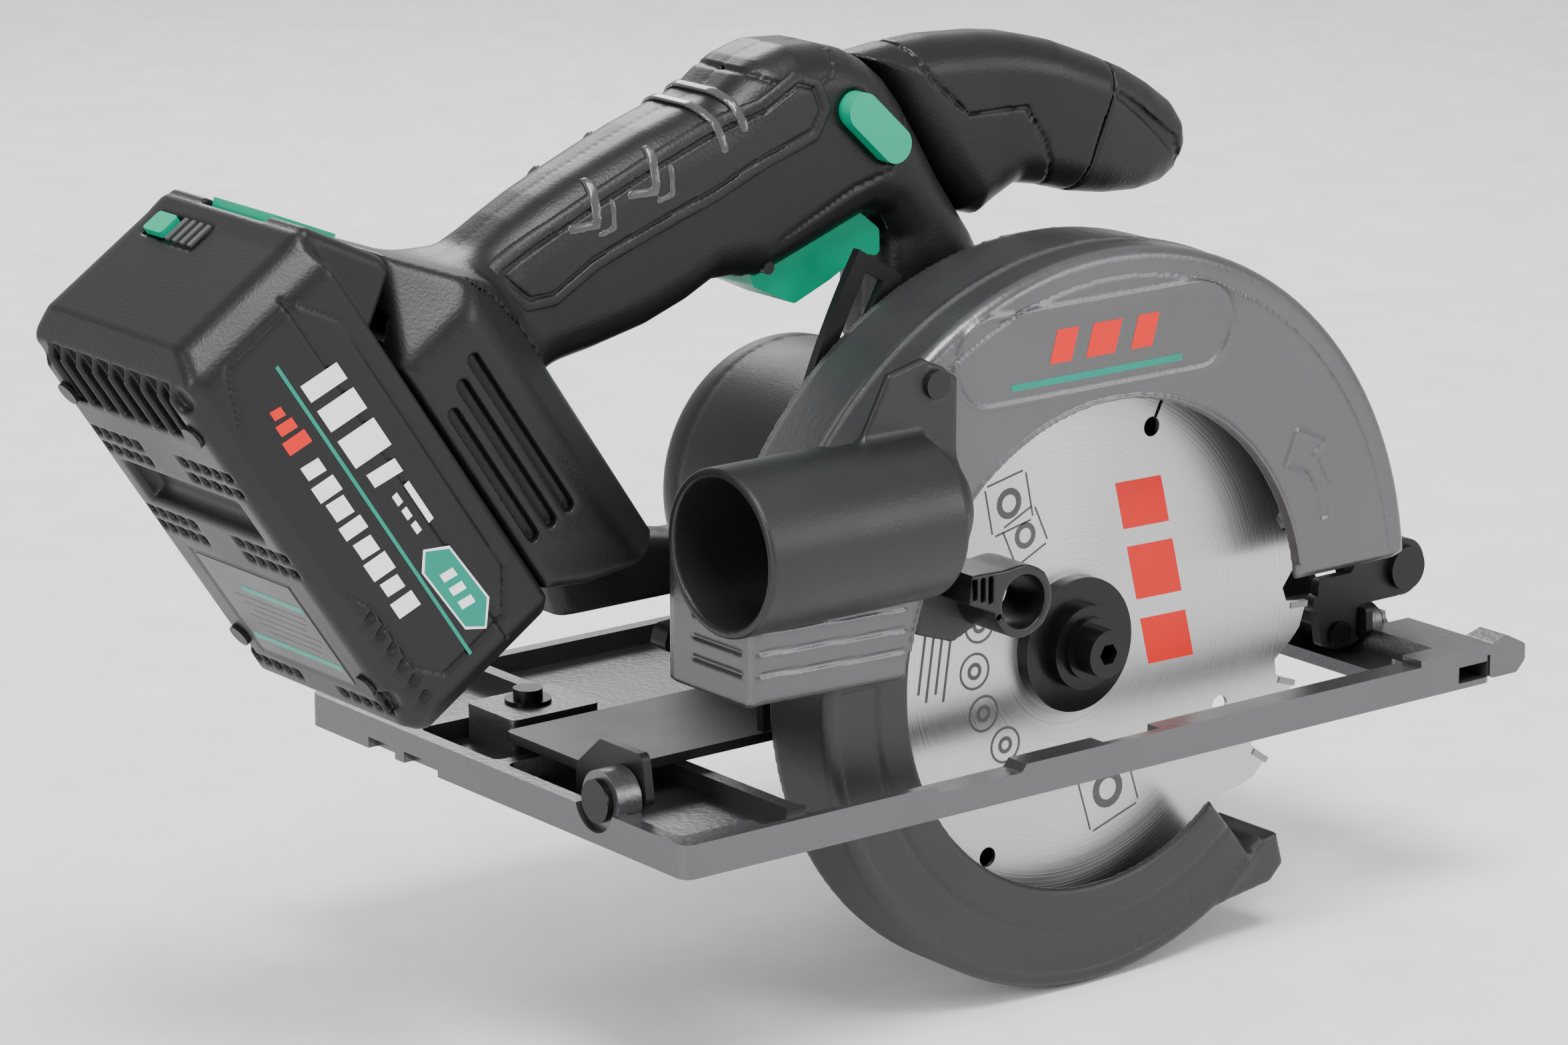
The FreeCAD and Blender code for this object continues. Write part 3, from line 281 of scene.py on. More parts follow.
CAST_BASE = finish("cast_base", (0.11, 0.11, 0.114), 0.33, metallic=0.8, grain=0.55, grain_scale=650)
LOWER_CAST = finish("lower_guard_paint", (0.022, 0.022, 0.023), 0.45, metallic=0.3, grain=0.25,
                    grain_scale=800)
BLACK_STEEL = finish("black_steel", (0.007, 0.007, 0.0075), 0.45, grain=0.12, specular=0.3)
OXIDE = finish("black_oxide", (0.014, 0.014, 0.015), 0.27, metallic=0.7)
STEEL = finish("machined_steel", (0.55, 0.55, 0.56), 0.3, metallic=1.0)
CARBIDE = finish("carbide", (0.22, 0.22, 0.22), 0.38, metallic=0.9)
GREEN = finish("green_plastic", (0.0, 0.29, 0.16), 0.36, grain=0.06, specular=0.25)
GREEN_PRINT = finish("green_print", (0.0, 0.2, 0.14), 0.4, specular=0.25)
RED_PRINT = finish("red_print", (0.62, 0.008, 0.004), 0.4, specular=0.25)
WHITE_PRINT = finish("white_print", (0.75, 0.75, 0.76), 0.4)
GREY_PRINT = finish("grey_print", (0.05, 0.05, 0.052), 0.5)
COPPER = finish("copper", (0.7, 0.33, 0.18), 0.3, metallic=1.0)
CELL = finish("cell_wrap", (0.03, 0.09, 0.2), 0.35)
BOARD = finish("circuit_board", (0.01, 0.1, 0.04), 0.4)
DARK_IRON = finish("laminated_iron", (0.12, 0.115, 0.11), 0.45, metallic=0.9)
print("finishes made:", len(bpy.data.materials))

# %% [markdown]
# The blade is ground in circles about its bore. Noise that is read only by the distance from the bore
# gives the fine rings, and an anisotropic shine turns the highlight into the two bright wedges that such
# a disc has.


# %% Brushed blade
def brushed_blade():
    material = bpy.data.materials.new("brushed_blade")
    material.use_nodes = True
    nodes = material.node_tree.nodes
    links = material.node_tree.links
    shader = nodes["Principled BSDF"]
    shader.inputs["Metallic"].default_value = 1.0
    shader.inputs["Anisotropic"].default_value = 0.75
    shader.inputs["Anisotropic Rotation"].default_value = 0.25
    place = nodes.new("ShaderNodeTexCoord")
    centred = nodes.new("ShaderNodeMapping")
    centred.inputs["Location"].default_value = (0, 0, -AXIS_HEIGHT * MM)
    links.new(place.outputs["Object"], centred.inputs["Vector"])
    parts = nodes.new("ShaderNodeSeparateXYZ")
    links.new(centred.outputs["Vector"], parts.inputs["Vector"])
    flat = nodes.new("ShaderNodeCombineXYZ")
    links.new(parts.outputs["X"], flat.inputs["X"])
    links.new(parts.outputs["Z"], flat.inputs["Y"])
    radius = nodes.new("ShaderNodeVectorMath")
    radius.operation = "LENGTH"
    links.new(flat.outputs["Vector"], radius.inputs[0])
    rings = nodes.new("ShaderNodeTexNoise")
    rings.noise_dimensions = "1D"
    rings.inputs["Scale"].default_value = 2600.0
    rings.inputs["Detail"].default_value = 4.0
    links.new(radius.outputs["Value"], rings.inputs["W"])
    tone = nodes.new("ShaderNodeMapRange")
    tone.inputs["To Min"].default_value = 0.30
    tone.inputs["To Max"].default_value = 0.62
    links.new(rings.outputs["Fac"], tone.inputs["Value"])
    links.new(tone.outputs["Result"], shader.inputs["Base Color"])
    rough = nodes.new("ShaderNodeMapRange")
    rough.inputs["To Min"].default_value = 0.22
    rough.inputs["To Max"].default_value = 0.42
    links.new(rings.outputs["Fac"], rough.inputs["Value"])
    links.new(rough.outputs["Result"], shader.inputs["Roughness"])
    tangent = nodes.new("ShaderNodeTangent")
    tangent.direction_type = "RADIAL"
    tangent.axis = "Y"
    links.new(tangent.outputs["Tangent"], shader.inputs["Tangent"])
    bump = nodes.new("ShaderNodeBump")
    bump.inputs["Strength"].default_value = 0.12
    bump.inputs["Distance"].default_value = 0.0001
    links.new(rings.outputs["Fac"], bump.inputs["Height"])
    links.new(bump.outputs["Normal"], shader.inputs["Normal"])
    return material


BLADE = brushed_blade()
print("blade finish made")

# %% [markdown]
# ## The upper guard
# The real guard is one thin casting: a flat face round the blade's opening, a rim that runs back from it,
# and a tail behind. Its side view is mostly arcs about the blade's axis, so a helper lists the points of
# an arc, and the corners of the tail are given one by one.


# %% Arc points and places
def arc_points(radius, start, end, count=40, centre=(0.0, AXIS_HEIGHT)):
    """Points along an arc between two angles in degrees."""
    angles = np.radians(np.linspace(start, end, count))
    return [(centre[0] + radius * math.cos(a), centre[1] + radius * math.sin(a)) for a in angles]


GUARD_RADIUS = 104.0
OPENING_RADIUS = 65.0
DEPTH_PIN = (123.0, 25.0)
GUARD_LOW, GUARD_HIGH = [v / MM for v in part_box("upper_guard")]
GUARD_FACE = GUARD_LOW.y
GUARD_BACK = GUARD_HIGH.y
TAIL_REAR = GUARD_LOW.x
PORT_LOW, PORT_HIGH = [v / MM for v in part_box("dust_port")]
TUBE_Y, TUBE_Z, TUBE_RADIUS, TUBE_BORE = -17.0, 74.9, 20.6, 18.3
print("guard face at y", round(GUARD_FACE, 2), "and back at", round(GUARD_BACK, 2))

# %% [markdown]
# The solid side view is hollowed out from behind, which leaves a thin wall. A plate then closes the back.
# A thin bead runs round the rim, where the two halves of the die met.


# %% Guard body
def guard_shell(x, y, z, radius):
    """The face and rim as a thin wall, with the bead where the halves of the die met."""
    side = [(TAIL_REAR + 0.1, 66.0), (TAIL_REAR + 0.1, 34.0), (-63.0, 32.4)]
    side += arc_points(OPENING_RADIUS, 176, 7, 44) + [(99.5, 35.5)] + arc_points(GUARD_RADIUS, 5, 149, 50)
    flat = outline(x, z, side)
    body = extruded(flat, slab(y, GUARD_FACE, GUARD_BACK), 3.2)
    bead = np.sqrt((radius - 103.7) ** 2 + (y + 3.5) ** 2) - 0.8
    body = smooth_union(body, both(bead, flat - 1.2), 1.0)
    wall, face_wall = 3.0, 2.6
    inner_radius = GUARD_RADIUS - wall
    hollow = [(TAIL_REAR + wall, 62.0), (TAIL_REAR + wall, 20.0), (inner_radius, 20.0)]
    hollow += arc_points(inner_radius, 0, 150, 50)
    return smooth_cut(body, both(outline(x, z, hollow), slab(y, GUARD_FACE + face_wall, 40)), 0.8)


def upper_guard():
    grid = Grid(GUARD_LOW, GUARD_HIGH, 0.7)
    x, y, z = grid.x, grid.y, grid.z
    radius = round_bar(x, z, (0, AXIS_HEIGHT), 0)
    body = guard_shell(x, y, z, radius)
    plate = [(TAIL_REAR + 0.5, 66.0), (TAIL_REAR + 0.5, 34.0), (99.0, 36.0)]
    plate = outline(x, z, plate + arc_points(GUARD_RADIUS - 0.5, 6, 149, 50))
    plate = np.minimum(plate, radius - 24.0)
    body = union(body, both(plate, slab(y, GUARD_BACK - 3, GUARD_BACK)))
    lug = outline(x, z, [(88.0, 44.0), (88.0, 60.0), (96.0, 62.0), (114.0, 34.5), (123.0, 32.4),
                         (123.0, 17.8), (112.0, 18.0), (104.0, 36.0)])
    eye = round_bar(x, z, DEPTH_PIN, 0)
    body = smooth_union(body, extruded(np.minimum(lug, eye - 7.5), slab(y, 9, GUARD_BACK), 1.0), 1.5)
    gear_bore, pin_bore = 15.5, 2.7
    body = both(body, gear_bore - radius, pin_bore - eye)
    tube_room = round_bar(y, z, (TUBE_Y, TUBE_Z), 20.9) + 40 * (x > -85)
    return grid, smooth_cut(body, tube_room, 0.5)


guard_grid, guard_field = upper_guard()
print("guard field:", guard_field.shape)

# %% [markdown]
# The face carries a raised racetrack that frames the print, an arrow for the way the blade turns, and a
# lip round the opening. Each is a round bead whose middle lies in the face, so that half of it stands
# out.


# %% Marks on the guard's face
def guard_marks(grid, body):
    """Raised racetrack, rotation arrow, lip round the opening, rim groove and the tail's slots."""
    x, y, z = grid.x, grid.y, grid.z
    radius = round_bar(x, z, (0, AXIS_HEIGHT), 0)
    track = np.sqrt(np.maximum(np.abs(x + 6.0) - 34.0, 0) ** 2 + (z - 108.4) ** 2) - 11.2
    bead = np.sqrt(track ** 2 + (y - GUARD_FACE) ** 2) - 0.62
    arrow = line(x, z, [(66, 64), (58.5, 66.5), (62.5, 76), (72, 71.5), (68.5, 68.5), (73.5, 60), (75, 51),
                        (71, 50.5), (69, 59), (66, 64)], 0.0)
    bead = np.minimum(bead, np.sqrt(arrow ** 2 + (y - GUARD_FACE) ** 2) - 0.55)
    lip = np.sqrt((radius - (OPENING_RADIUS + 1.2)) ** 2 + (y - GUARD_FACE) ** 2) - 0.55 + 30 * (z < 40)
    body = smooth_union(body, np.minimum(bead, lip), 0.5)
    groove = np.sqrt((radius - 97.5) ** 2 + (y - GUARD_FACE) ** 2) - 0.5 + 30 * (x < -60)
    body = smooth_cut(body, groove, 0.4)
    for level in (40.5, 46.0, 51.5):
        side_slot = both(slab(z + 0.04 * x, level - 2.9, level - 2.1), slab(x, -112.0, -66.0),
                         slab(y, -20, -15.1))
        body = smooth_cut(body, side_slot, 0.5)
        rear_slot = both(slab(z, level + 1.1, level + 1.9), slab(x, -120.0, TAIL_REAR + 1.0), slab(y, -12, 8))
        body = smooth_cut(body, rear_slot, 0.5)
    return body


upper = mesh_piece("upper_guard_casting", guard_grid, guard_marks(guard_grid, guard_field))
upper.data.materials.append(CAST)
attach(upper, "saw_body")
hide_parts("upper_guard", "guard_badge")

# %% [markdown]
# ## The lower guard
# It is a pressed and rolled cover with two shallow grooves in its face, and a folded lip at the front
# that pushes the guard back when the saw enters the work. It is hollow for the blade, and its back plate
# reaches in to the bore that it swings on.


# %% Lower guard
def lower_guard():
    low, high = [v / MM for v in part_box("lower_guard")]
    grid = Grid(low, high, 0.7)
    x, y, z = grid.x, grid.y, grid.z
    radius = round_bar(x, z, (0, AXIS_HEIGHT), 0)
    start, end, outer = -229, -50, 88.0
    sheet, back_in, back_out = 1.8, 9.2, 11.0
    rim = arc_points(outer, start, end, 70)
    body = extruded(outline(x, z, rim + arc_points(61.4, end, start, 60)), slab(y, low.y, back_out), 2.4)
    inside = both(np.abs(radius - 50) - 36.0, slab(y, low.y + sheet, back_in))
    body = smooth_cut(body, inside, 0.6)
    back = outline(x, z, rim + arc_points(14.0, end, start, 20))
    body = union(body, both(back + 0.3, slab(y, back_in, back_out)))
    body = union(body, both(radius - 21, slab(y, 5.8, high.y)))
    lip = outline(x, z, [(43.0, -49.0), (61.0, -46.5), (65.5, -42.0), (63.0, -33.0), (58.0, -34.0),
                         (47.0, -43.0)])
    body = smooth_union(body, extruded(lip, slab(y, low.y, back_out), 1.2), 1.5)
    lever_seat = outline(x, z, [(-58.0, 64.0), (-60.0, 42.0), (-48.0, 38.0), (-38.0, 42.0), (-34.0, 52.0),
                                (-38.0, 58.0)])
    body = union(body, both(lever_seat + 0.5, slab(y, low.y, low.y + sheet)))
    body = both(body, 15.06 - radius)
    groove = np.sqrt((radius - 72.5) ** 2 + (y - low.y) ** 2) - 0.75
    groove = np.minimum(groove, both(np.abs(radius - 78.5) - 5.4, slab(y, -20, low.y + 0.35)))
    body = smooth_cut(body, groove + 30 * (z > 32), 0.5)
    mark = line(x, z, [(26, -48.5), (14, -51.5), (14.8, -54.5)], 0.35)
    mark = np.minimum(mark, line(x, z, [(22, -51.5), (33, -46.5), (32, -43.5)], 0.35))
    return grid, smooth_cut(body, both(mark, slab(y, -20, low.y + 0.75)), 0.3)


lower_piece = mesh_piece("lower_guard_cover", *lower_guard())
lower_piece.data.materials.append(LOWER_CAST)
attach(lower_piece, "lower_guard")
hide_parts("lower_guard")

# %% [markdown]
# A small moulded lever on the guard lets a finger draw it back. It is a plate with a large round eye,
# three narrow pockets and a row of shallow teeth along its edge.


# %% Lower guard's lever
def guard_lever():
    low, high = [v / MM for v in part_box("guard_lever")]
    grid = Grid(low, high, 0.35)
    x, y, z = grid.x, grid.y, grid.z
    arm = outline(x, z, [(-55.0, 60.5), (-56.0, 52.0), (-47.0, 48.3), (-44.0, 43.0), (-38.0, 41.1),
                         (-31.5, 44.0), (-28.7, 50.5), (-31.0, 57.0), (-38.0, 60.0)])
    eye = (-38.0, 50.5)
    body = extruded(smooth_union(arm + 0.8, round_bar(x, z, eye, 9.0), 2.0), slab(y, low.y, high.y), 0.6)
    body = smooth_cut(body, round_bar(x, z, eye, 6.8), 0.4)
    for step in range(3):
        pocket = both(slab(x, -54.2 + 2.5 * step, -52.7 + 2.5 * step), slab(z, 53.4 - 0.8 * step, 58.6))
        body = smooth_cut(body, both(pocket, y - (high.y - 2.0)), 0.4)
    for step in range(5):
        tooth = round_bar(x, z, (-54.5 + 2.2 * step, 51.2 - 0.85 * step), 0.8)
        body = smooth_cut(body, tooth, 0.3)
    return grid, body


lever_piece = mesh_piece("guard_lever_moulding", *guard_lever())
lever_piece.data.materials.append(SMOOTH_PLASTIC)
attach(lever_piece, "lower_guard")
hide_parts("guard_lever")

# %% [markdown]
# ## The dust port
# A plain round spout leaves the rear of the guard, and a bracket moulded with it lies against the guard's
# face under one screw. A short fat capsule joins the two, so that the smooth union has something to fill.


# %% Dust port
def dust_port():
    grid = Grid(PORT_LOW, PORT_HIGH, 0.6)
    x, y, z = grid.x, grid.y, grid.z
    around = round_bar(y, z, (TUBE_Y, TUBE_Z), 0)
    tube = extruded(around - TUBE_RADIUS, slab(x, PORT_LOW.x, -64.0), 0.9)
    tube = smooth_union(tube, capsule(x, y, z, (-72, TUBE_Y, TUBE_Z), (-66, TUBE_Y + 4, TUBE_Z), 18.0), 3.0)
    plate = outline(x, z, [(-74.0, 111.0), (-63.0, 113.6), (-52.6, 107.6), (-52.6, 81.0), (-57.5, 69.0),
                           (-66.0, 58.0), (-85.0, 60.5), (-85.0, 91.0)])
    plate = extruded(plate, slab(y, GUARD_FACE - 2.6, GUARD_FACE), 0.7)
    body = smooth_union(tube, plate, 2.5)
    post = round_bar(x, z, (-60.0, 107.0), 0)
    body = smooth_union(body, both(post - 4.6, slab(y, GUARD_FACE - 2.8, GUARD_FACE)), 0.6)
    body = both(body, y - GUARD_FACE - 40 * (x < -90), slab(x, PORT_LOW.x, PORT_HIGH.x))
    body = smooth_cut(body, both(around - TUBE_BORE, x + 70), 0.6)
    return grid, both(body, 1.9 - post)


port_piece = mesh_piece("dust_spout", *dust_port())
port_piece.data.materials.append(PORT_PLASTIC)
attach(port_piece, "saw_body")
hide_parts("dust_port")

# %% [markdown]
# ## The motor
# Its housing is a plain drum, and its cap has a rounded shoulder and cooling slots. The two share one
# field, and a groove round it marks where the cap meets the housing. The inside is hollow, so the slots
# look into the dark.


# %% Motor housing and cap
def motor_shell():
    low, high = [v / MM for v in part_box("motor_housing")]
    cap_low, cap_high = [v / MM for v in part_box("motor_cap")]
    grid = Grid(Vector(map(min, low, cap_low)), Vector(map(max, high, cap_high)), 1.0)
    x, y, z = grid.x, grid.y, grid.z
    around = round_bar(x, z, (MOTOR_X, MOTOR_Z), 0)
    outer, inner, shoulder = 38.0, 35.4, 9.0
    body = extruded(around - outer, slab(y, low.y - 12, cap_high.y), shoulder)
    body = both(body, low.y - y)
    seam = np.sqrt((around - (outer + 0.2)) ** 2 + (y - high.y) ** 2) - 0.8
    body = smooth_cut(body, seam, 0.4)
    for level in range(-2, 3):
        middle = MOTOR_Z + 8 * level
        slot = both(slab(z, middle - 1.6, middle + 1.6), np.abs(x - MOTOR_X) - 20, cap_high.y - 5 - y)
        body = smooth_cut(body, slot, 0.6)
    body = smooth_cut(body, both(around - inner, slab(y, low.y - 20, cap_high.y - 4)), 0.6)
    return grid, body


motor_piece = mesh_piece("motor_housing_moulding", *motor_shell())
motor_piece.data.materials.append(PLASTIC_DARK)
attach(motor_piece, "saw_body")
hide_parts("motor_housing", "motor_cap")

# %% [markdown]
# ## The rear handle and the battery's foot
# The foot lies along the battery's rails, which lean steeply. Turning every sample point into the
# battery's own frame lets the foot be written as an upright block, with no angles in its numbers.


# %% Tilted frame
def tilted(x, z):
    """Row positions turned into the battery's own frame: along its rails, and out towards the foot."""
    dx, dz = x - PACK_SEAT.x, z - PACK_SEAT.z
    return dx * PACK_ALONG.x + dz * PACK_ALONG.z, dx * PACK_OUT.x + dz * PACK_OUT.z


PACK_MATRIX = Matrix.Translation(PACK_SEAT * MM) @ Matrix.Rotation(PACK_TILT, 4, "Y")
SHELL_LOW, _ = [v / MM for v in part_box("handle_right")]
_, SHELL_HIGH = [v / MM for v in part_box("handle_left")]
print("shells run over", [round(v, 1) for v in SHELL_HIGH - SHELL_LOW], "mm")

# %% [markdown]
# Two clam shells are moulded as one form: a grip that swells and bends down into a broad foot. The grip's
# side view is a polygon, its section a rounded box whose width changes along the hand, and the foot is a
# chamfered block. A table of widths, read between its points, gives the swell.


# %% Grip and foot
FOOT_HALF = 35.9


def handle_grip(x, y, z):
    """The grip's distance and its half width along x."""
    side = [(-168.0, 137.5), (-152.5, 114.0), (-146.0, 112.0), (-138.0, 113.0), (-126.0, 115.2),
            (-110.0, 119.0), (-98.0, 123.5), (-90.0, 127.6), (-83.0, 127.8), (-77.0, 126.5), (-60.0, 132.5),
            (-44.0, 138.2), (-38.5, 136.5), (-35.0, 131.0), (-35.6, 122.0), (-35.8, 112.0), (-35.0, 102.6),
            (3.0, 102.6), (2.6, 110.0), (0.5, 119.0), (-6.0, 130.0), (-12.0, 138.0), (-18.0, 146.0),
            (-24.0, 155.5), (-31.0, 166.0), (-36.5, 172.5), (-43.0, 177.5), (-49.0, 180.6), (-56.0, 182.6),
            (-67.0, 183.2), (-76.0, 180.7), (-81.5, 177.6), (-86.0, 174.4), (-91.0, 172.2), (-96.0, 170.8),
            (-108.0, 167.0), (-120.0, 162.4), (-130.0, 158.4), (-139.0, 154.4), (-148.0, 149.8),
            (-156.0, 145.0)]
    swell = np.interp(x[:, 0, 0], [-165, -150, -130, -105, -85, -70, -45, -20, 5],
                      [16.5, 14.6, 14.8, 15.6, 16.2, 16.9, 16.9, 14.5, 12.0])
    swell = swell.astype(np.float32)[:, None, None]
    return extruded(outline(x, z, side), np.abs(y) - swell, 11.0), swell


def handle_foot(along, out, y):
    block = outline(along, out, [(-36, 18.5), (-19, 0.8), (52, 0.8), (59.0, 10), (69, 30), (69, 36.4),
                                 (-12, 36.4)])
    from_side = np.abs(y) - FOOT_HALF
    foot = extruded(block, from_side + 0 * along, 3.5)
    chamfer = from_side * 0.74 + (out - 24.0) * 0.67
    foot = -smooth_union(-foot, -chamfer, 2.5)
    shoulder = from_side * 0.74 - (along + 18.0) * 0.67
    return -smooth_union(-foot, -shoulder, 2.5)


print("the foot is", 2 * FOOT_HALF, "mm wide")

# %% [markdown]
# A smooth union makes the web between grip and foot, as the mould's fillet does, and a thin bridge runs
# forward from the foot. Then the rooms for the trigger, the battery's rails and the dust tube are cut.


# %% Shells
def handle_shells():
    grid = Grid(SHELL_LOW, SHELL_HIGH, 0.8)
    x, y, z = grid.x, grid.y - GRIP_MIDDLE, grid.z
    along, out = tilted(x, z)
    grip, swell = handle_grip(x, y, z)
    body = smooth_union(grip, handle_foot(along, out, y), 11.0)
    bridge = outline(x, z, [(-62.6, 40.4), (-62.6, 63.6), (-95.0, 63.6), (-116.0, 67.6), (-124.0, 75.6),
                            (-141.0, 66.0), (-135.6, 50.0), (-112.0, 40.4)])
    body = smooth_union(body, extruded(bridge, np.abs(y) - 9.0, 3.0), 6.0)
    body = both(body, 0.5 - out + 60 * (z < 50), np.abs(y) - FOOT_HALF, slab(x, SHELL_LOW.x, SHELL_HIGH.x),
                slab(z, 40.1, SHELL_HIGH.z))
    hollow = outline(x, z, [(-79.0, 121.0), (-36.0, 126.0), (-34.5, 139.0), (-45.0, 147.0), (-79.0, 134.0)])
    body = smooth_cut(body, both(hollow, np.abs(y) - 9.4), 0.8)
    throat = both(slab(along, -45, 46), slab(out, -6, 9), np.abs(y) - 25.2)
    body = smooth_cut(body, throat, 0.4)
    port_room = round_bar(y + GRIP_MIDDLE, z, (TUBE_Y, TUBE_Z), 21.6) + 40 * (x > -99)
    return grid, smooth_cut(body, port_room, 0.4), (x, y, z, along, out, swell)


shell_grid, shell_body, shell_axes = handle_shells()
print("handle field", shell_body.shape)

# %% [markdown]
# Fine lines tell how such a handle is made: the seam between the shells, and the edges of the parts set
# into them. The foot has three cooling slots, and the lock-off bar slides in a shallow pocket.


# %% Seams and slots of the shells
def shell_details(body, x, y, z, along, out, swell):
    seam = both(np.abs(y) - 0.25, -4.0 - body)
    body = smooth_cut(body, seam + 0.0 * x, 0.3)
    for level, start, end in ((5.4, -1, 38), (11.2, -5, 38.5), (17.0, -8, 39)):
        slot = line(along, out, [(start, level), (end, level)], 1.6)
        body = smooth_cut(body, both(slot, 32.8 - np.abs(y)), 0.6)
    edge = line(x, z, [(-176, 143), (-166, 136.4), (-160, 131), (-153, 127), (-148, 120), (-144, 110)], 0.4)
    body = smooth_cut(body, both(edge, -1.0 - body), 0.3)
    lock = line(x, z, [(-51.5, 167.1), (-40.5, 156.9)], 5.0)
    body = smooth_cut(body, both(lock, swell - 1.2 - np.abs(y) + 0.0 * x), 0.6)
    collar = line(x, z, [(-95, 190), (-80, 178), (-66, 172), (-58, 176), (-52, 186)], 0.4)
    collar = np.minimum(collar, line(x, z, [(-28, 168), (-40, 150), (-52, 147), (-74, 137)], 0.35))
    return smooth_cut(body, both(collar, -0.8 - body), 0.3)


shell_piece = mesh_piece("handle_shells", shell_grid, shell_details(shell_body, *shell_axes))
shell_piece.data.materials.append(PLASTIC)
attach(shell_piece, "saw_body")
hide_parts("handle_right", "handle_left", "handle_screws")

# %% [markdown]
# The soft pads lie in the grip's sides and stand a little proud of it. Each one is the grip's own field,
# grown by less than a millimetre, inside a side outline, so it follows the swell under the hand.


# %% Soft pads
def grip_pads():
    grid = Grid((-163, SHELL_LOW.y + 15, 125), (-54, 60.0, SHELL_HIGH.z), 0.6)
    x, y, z = grid.x, grid.y - GRIP_MIDDLE, grid.z
    grip, _ = handle_grip(x, y, z)
    proud, sunk = 0.75, 0.7
    skin = both(grip - proud, -(grip + sunk))
    pad = outline(x, z, [(-160.0, 140.5), (-157.0, 135.5), (-149.0, 129.0), (-140.0, 129.5), (-128.0, 136.5),
                         (-112.0, 142.5), (-93.0, 149.0), (-78.0, 155.5), (-63.0, 160.5), (-58.5, 168.0),
                         (-62.0, 176.0), (-69.0, 178.5), (-80.0, 172.5), (-96.0, 168.0), (-112.0, 162.0),
                         (-130.0, 154.5), (-146.0, 147.5)])
    skin = smooth_cut(skin, -(pad + 0 * y), 0.8)
    groove = np.abs(pad + 3.2) - 0.45
    skin = smooth_cut(skin, both(groove, -0.25 - grip), 0.3)
    return grid, skin


pad_piece = mesh_piece("grip_pad_rubber", *grip_pads())
pad_piece.data.materials.append(RUBBER)
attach(pad_piece, "saw_body")
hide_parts("grip_pads")

# %% [markdown]
# The pads carry smooth raised marks that catch the light: two pairs of hooked strokes and two curved
# ones. They are thin bands on a skin that stands a little higher than the pad.


# %% Smooth marks on the pads
def grip_marks():
    """Two pairs of hooks and two curved strokes, glossier than the rubber about them."""
    grid = Grid((-150, SHELL_LOW.y + 15, 130), (-60, 60.0, SHELL_HIGH.z), 0.5)
    x, y, z = grid.x, grid.y - GRIP_MIDDLE, grid.z
    grip, _ = handle_grip(x, y, z)
    proud, sunk = 1.0, 0.2
    skin = both(grip - proud, -(grip + sunk))
    flats = None
    for strokes, width in (([(-127.8, 157), (-128.6, 147.6), (-135.5, 147.4)], 1.25),
                           ([(-123.8, 152.5), (-123.6, 146.2), (-127.5, 145.2)], 0.9),
                           ([(-110.8, 163), (-111.6, 153.8), (-118.5, 153.6)], 1.25),
                           ([(-106.8, 159), (-106.6, 152.4), (-110.5, 151.4)], 0.9),
                           ([(-95.2, 172.6), (-92.4, 168), (-91.2, 161.5)], 1.2),
                           ([(-89.0, 176.0), (-86.2, 172), (-85.0, 166)], 1.2)):
        mark = line(x, z, strokes, width)
        flats = mark if flats is None else np.minimum(flats, mark)
    return grid, both(skin, flats + 0 * y)


mark_piece = mesh_piece("grip_marks", *grip_marks())
mark_piece.data.materials.append(CHEVRON)
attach(mark_piece, "saw_body")

# %% [markdown]
# ## The front handle
# A short neck widens into a bulb with a soft nose cap. It has a side view and a table of widths, as the
# grip has, and one field serves both parts.


# %% Front handle
def front_handle():
    low, high = [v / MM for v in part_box("front_handle")]
    _, cap_high = [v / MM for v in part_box("front_handle_cap")]
    grid = Grid((low.x, low.y, low.z), (cap_high.x, high.y, high.z + 1), 0.7)
    x, z = grid.x, grid.z
    y = grid.y - GRIP_MIDDLE
    side = [(-42.0, 177.4), (-36.0, 173.0), (-30.4, 166.0), (-23.0, 154.0), (-16.0, 143.0), (-9.0, 134.0),
            (-3.0, 132.4), (3.0, 136.0), (9.0, 139.2), (17.0, 137.8), (27.0, 135.0), (38.0, 133.3),
            (48.0, 132.8), (56.0, 133.8), (62.0, 137.0), (65.8, 143.5), (64.8, 150.0), (60.0, 155.6),
            (52.0, 161.0), (44.0, 165.5), (34.0, 169.8), (21.0, 174.8), (10.0, 177.4), (0.0, 178.8),
            (-17.0, 179.6), (-30.0, 178.8)]
    half = np.interp(x[:, 0, 0], [-42, -20, 0, 15, 35, 50, 60, 66],
                     [10.5, 11.0, 11.5, 13.2, 14.9, 14.9, 14.0, 12.5]).astype(np.float32)[:, None, None]
    body = extruded(outline(x, z, side), np.abs(y) - half, 9.5)
    return grid, body, x, y, z


print("front handle form ready")

# %% [markdown]
# A leaning plane parts the bulb from its cap, with a narrow gap on the seam. Three grooves run across the
# cap's sides, and they stay shallow because they are cut only near the surface.


# %% Front handle's two parts
def front_parts():
    grid, body, x, y, z = front_handle()
    seam = (x - 31.0) * 0.93 - (z - 150.0) * 0.36
    bulb = smooth_cut(body, both(np.abs(seam) - 0.3, -1.2 - body), 0.3)
    collar = line(x, z, [(-30, 182), (-22, 170), (-10, 160), (8, 160), (14, 150), (20, 130)], 0.35)
    bulb = smooth_cut(bulb, both(collar + 0 * y, -0.9 - body), 0.3)
    nose = both(body, -(seam - 0.3))
    neck = both(bulb, seam + 0.3)
    for step in range(3):
        top = (37.0 + 3.4 * step, 160.0 - 2.2 * step)
        bottom = (57.0 + 1.6 * step, 146.0 - 3.2 * step)
        groove = line(x, z, [top, bottom], 1.0)
        nose = smooth_cut(nose, both(groove, -1.1 - body), 0.7)
    return grid, neck, nose


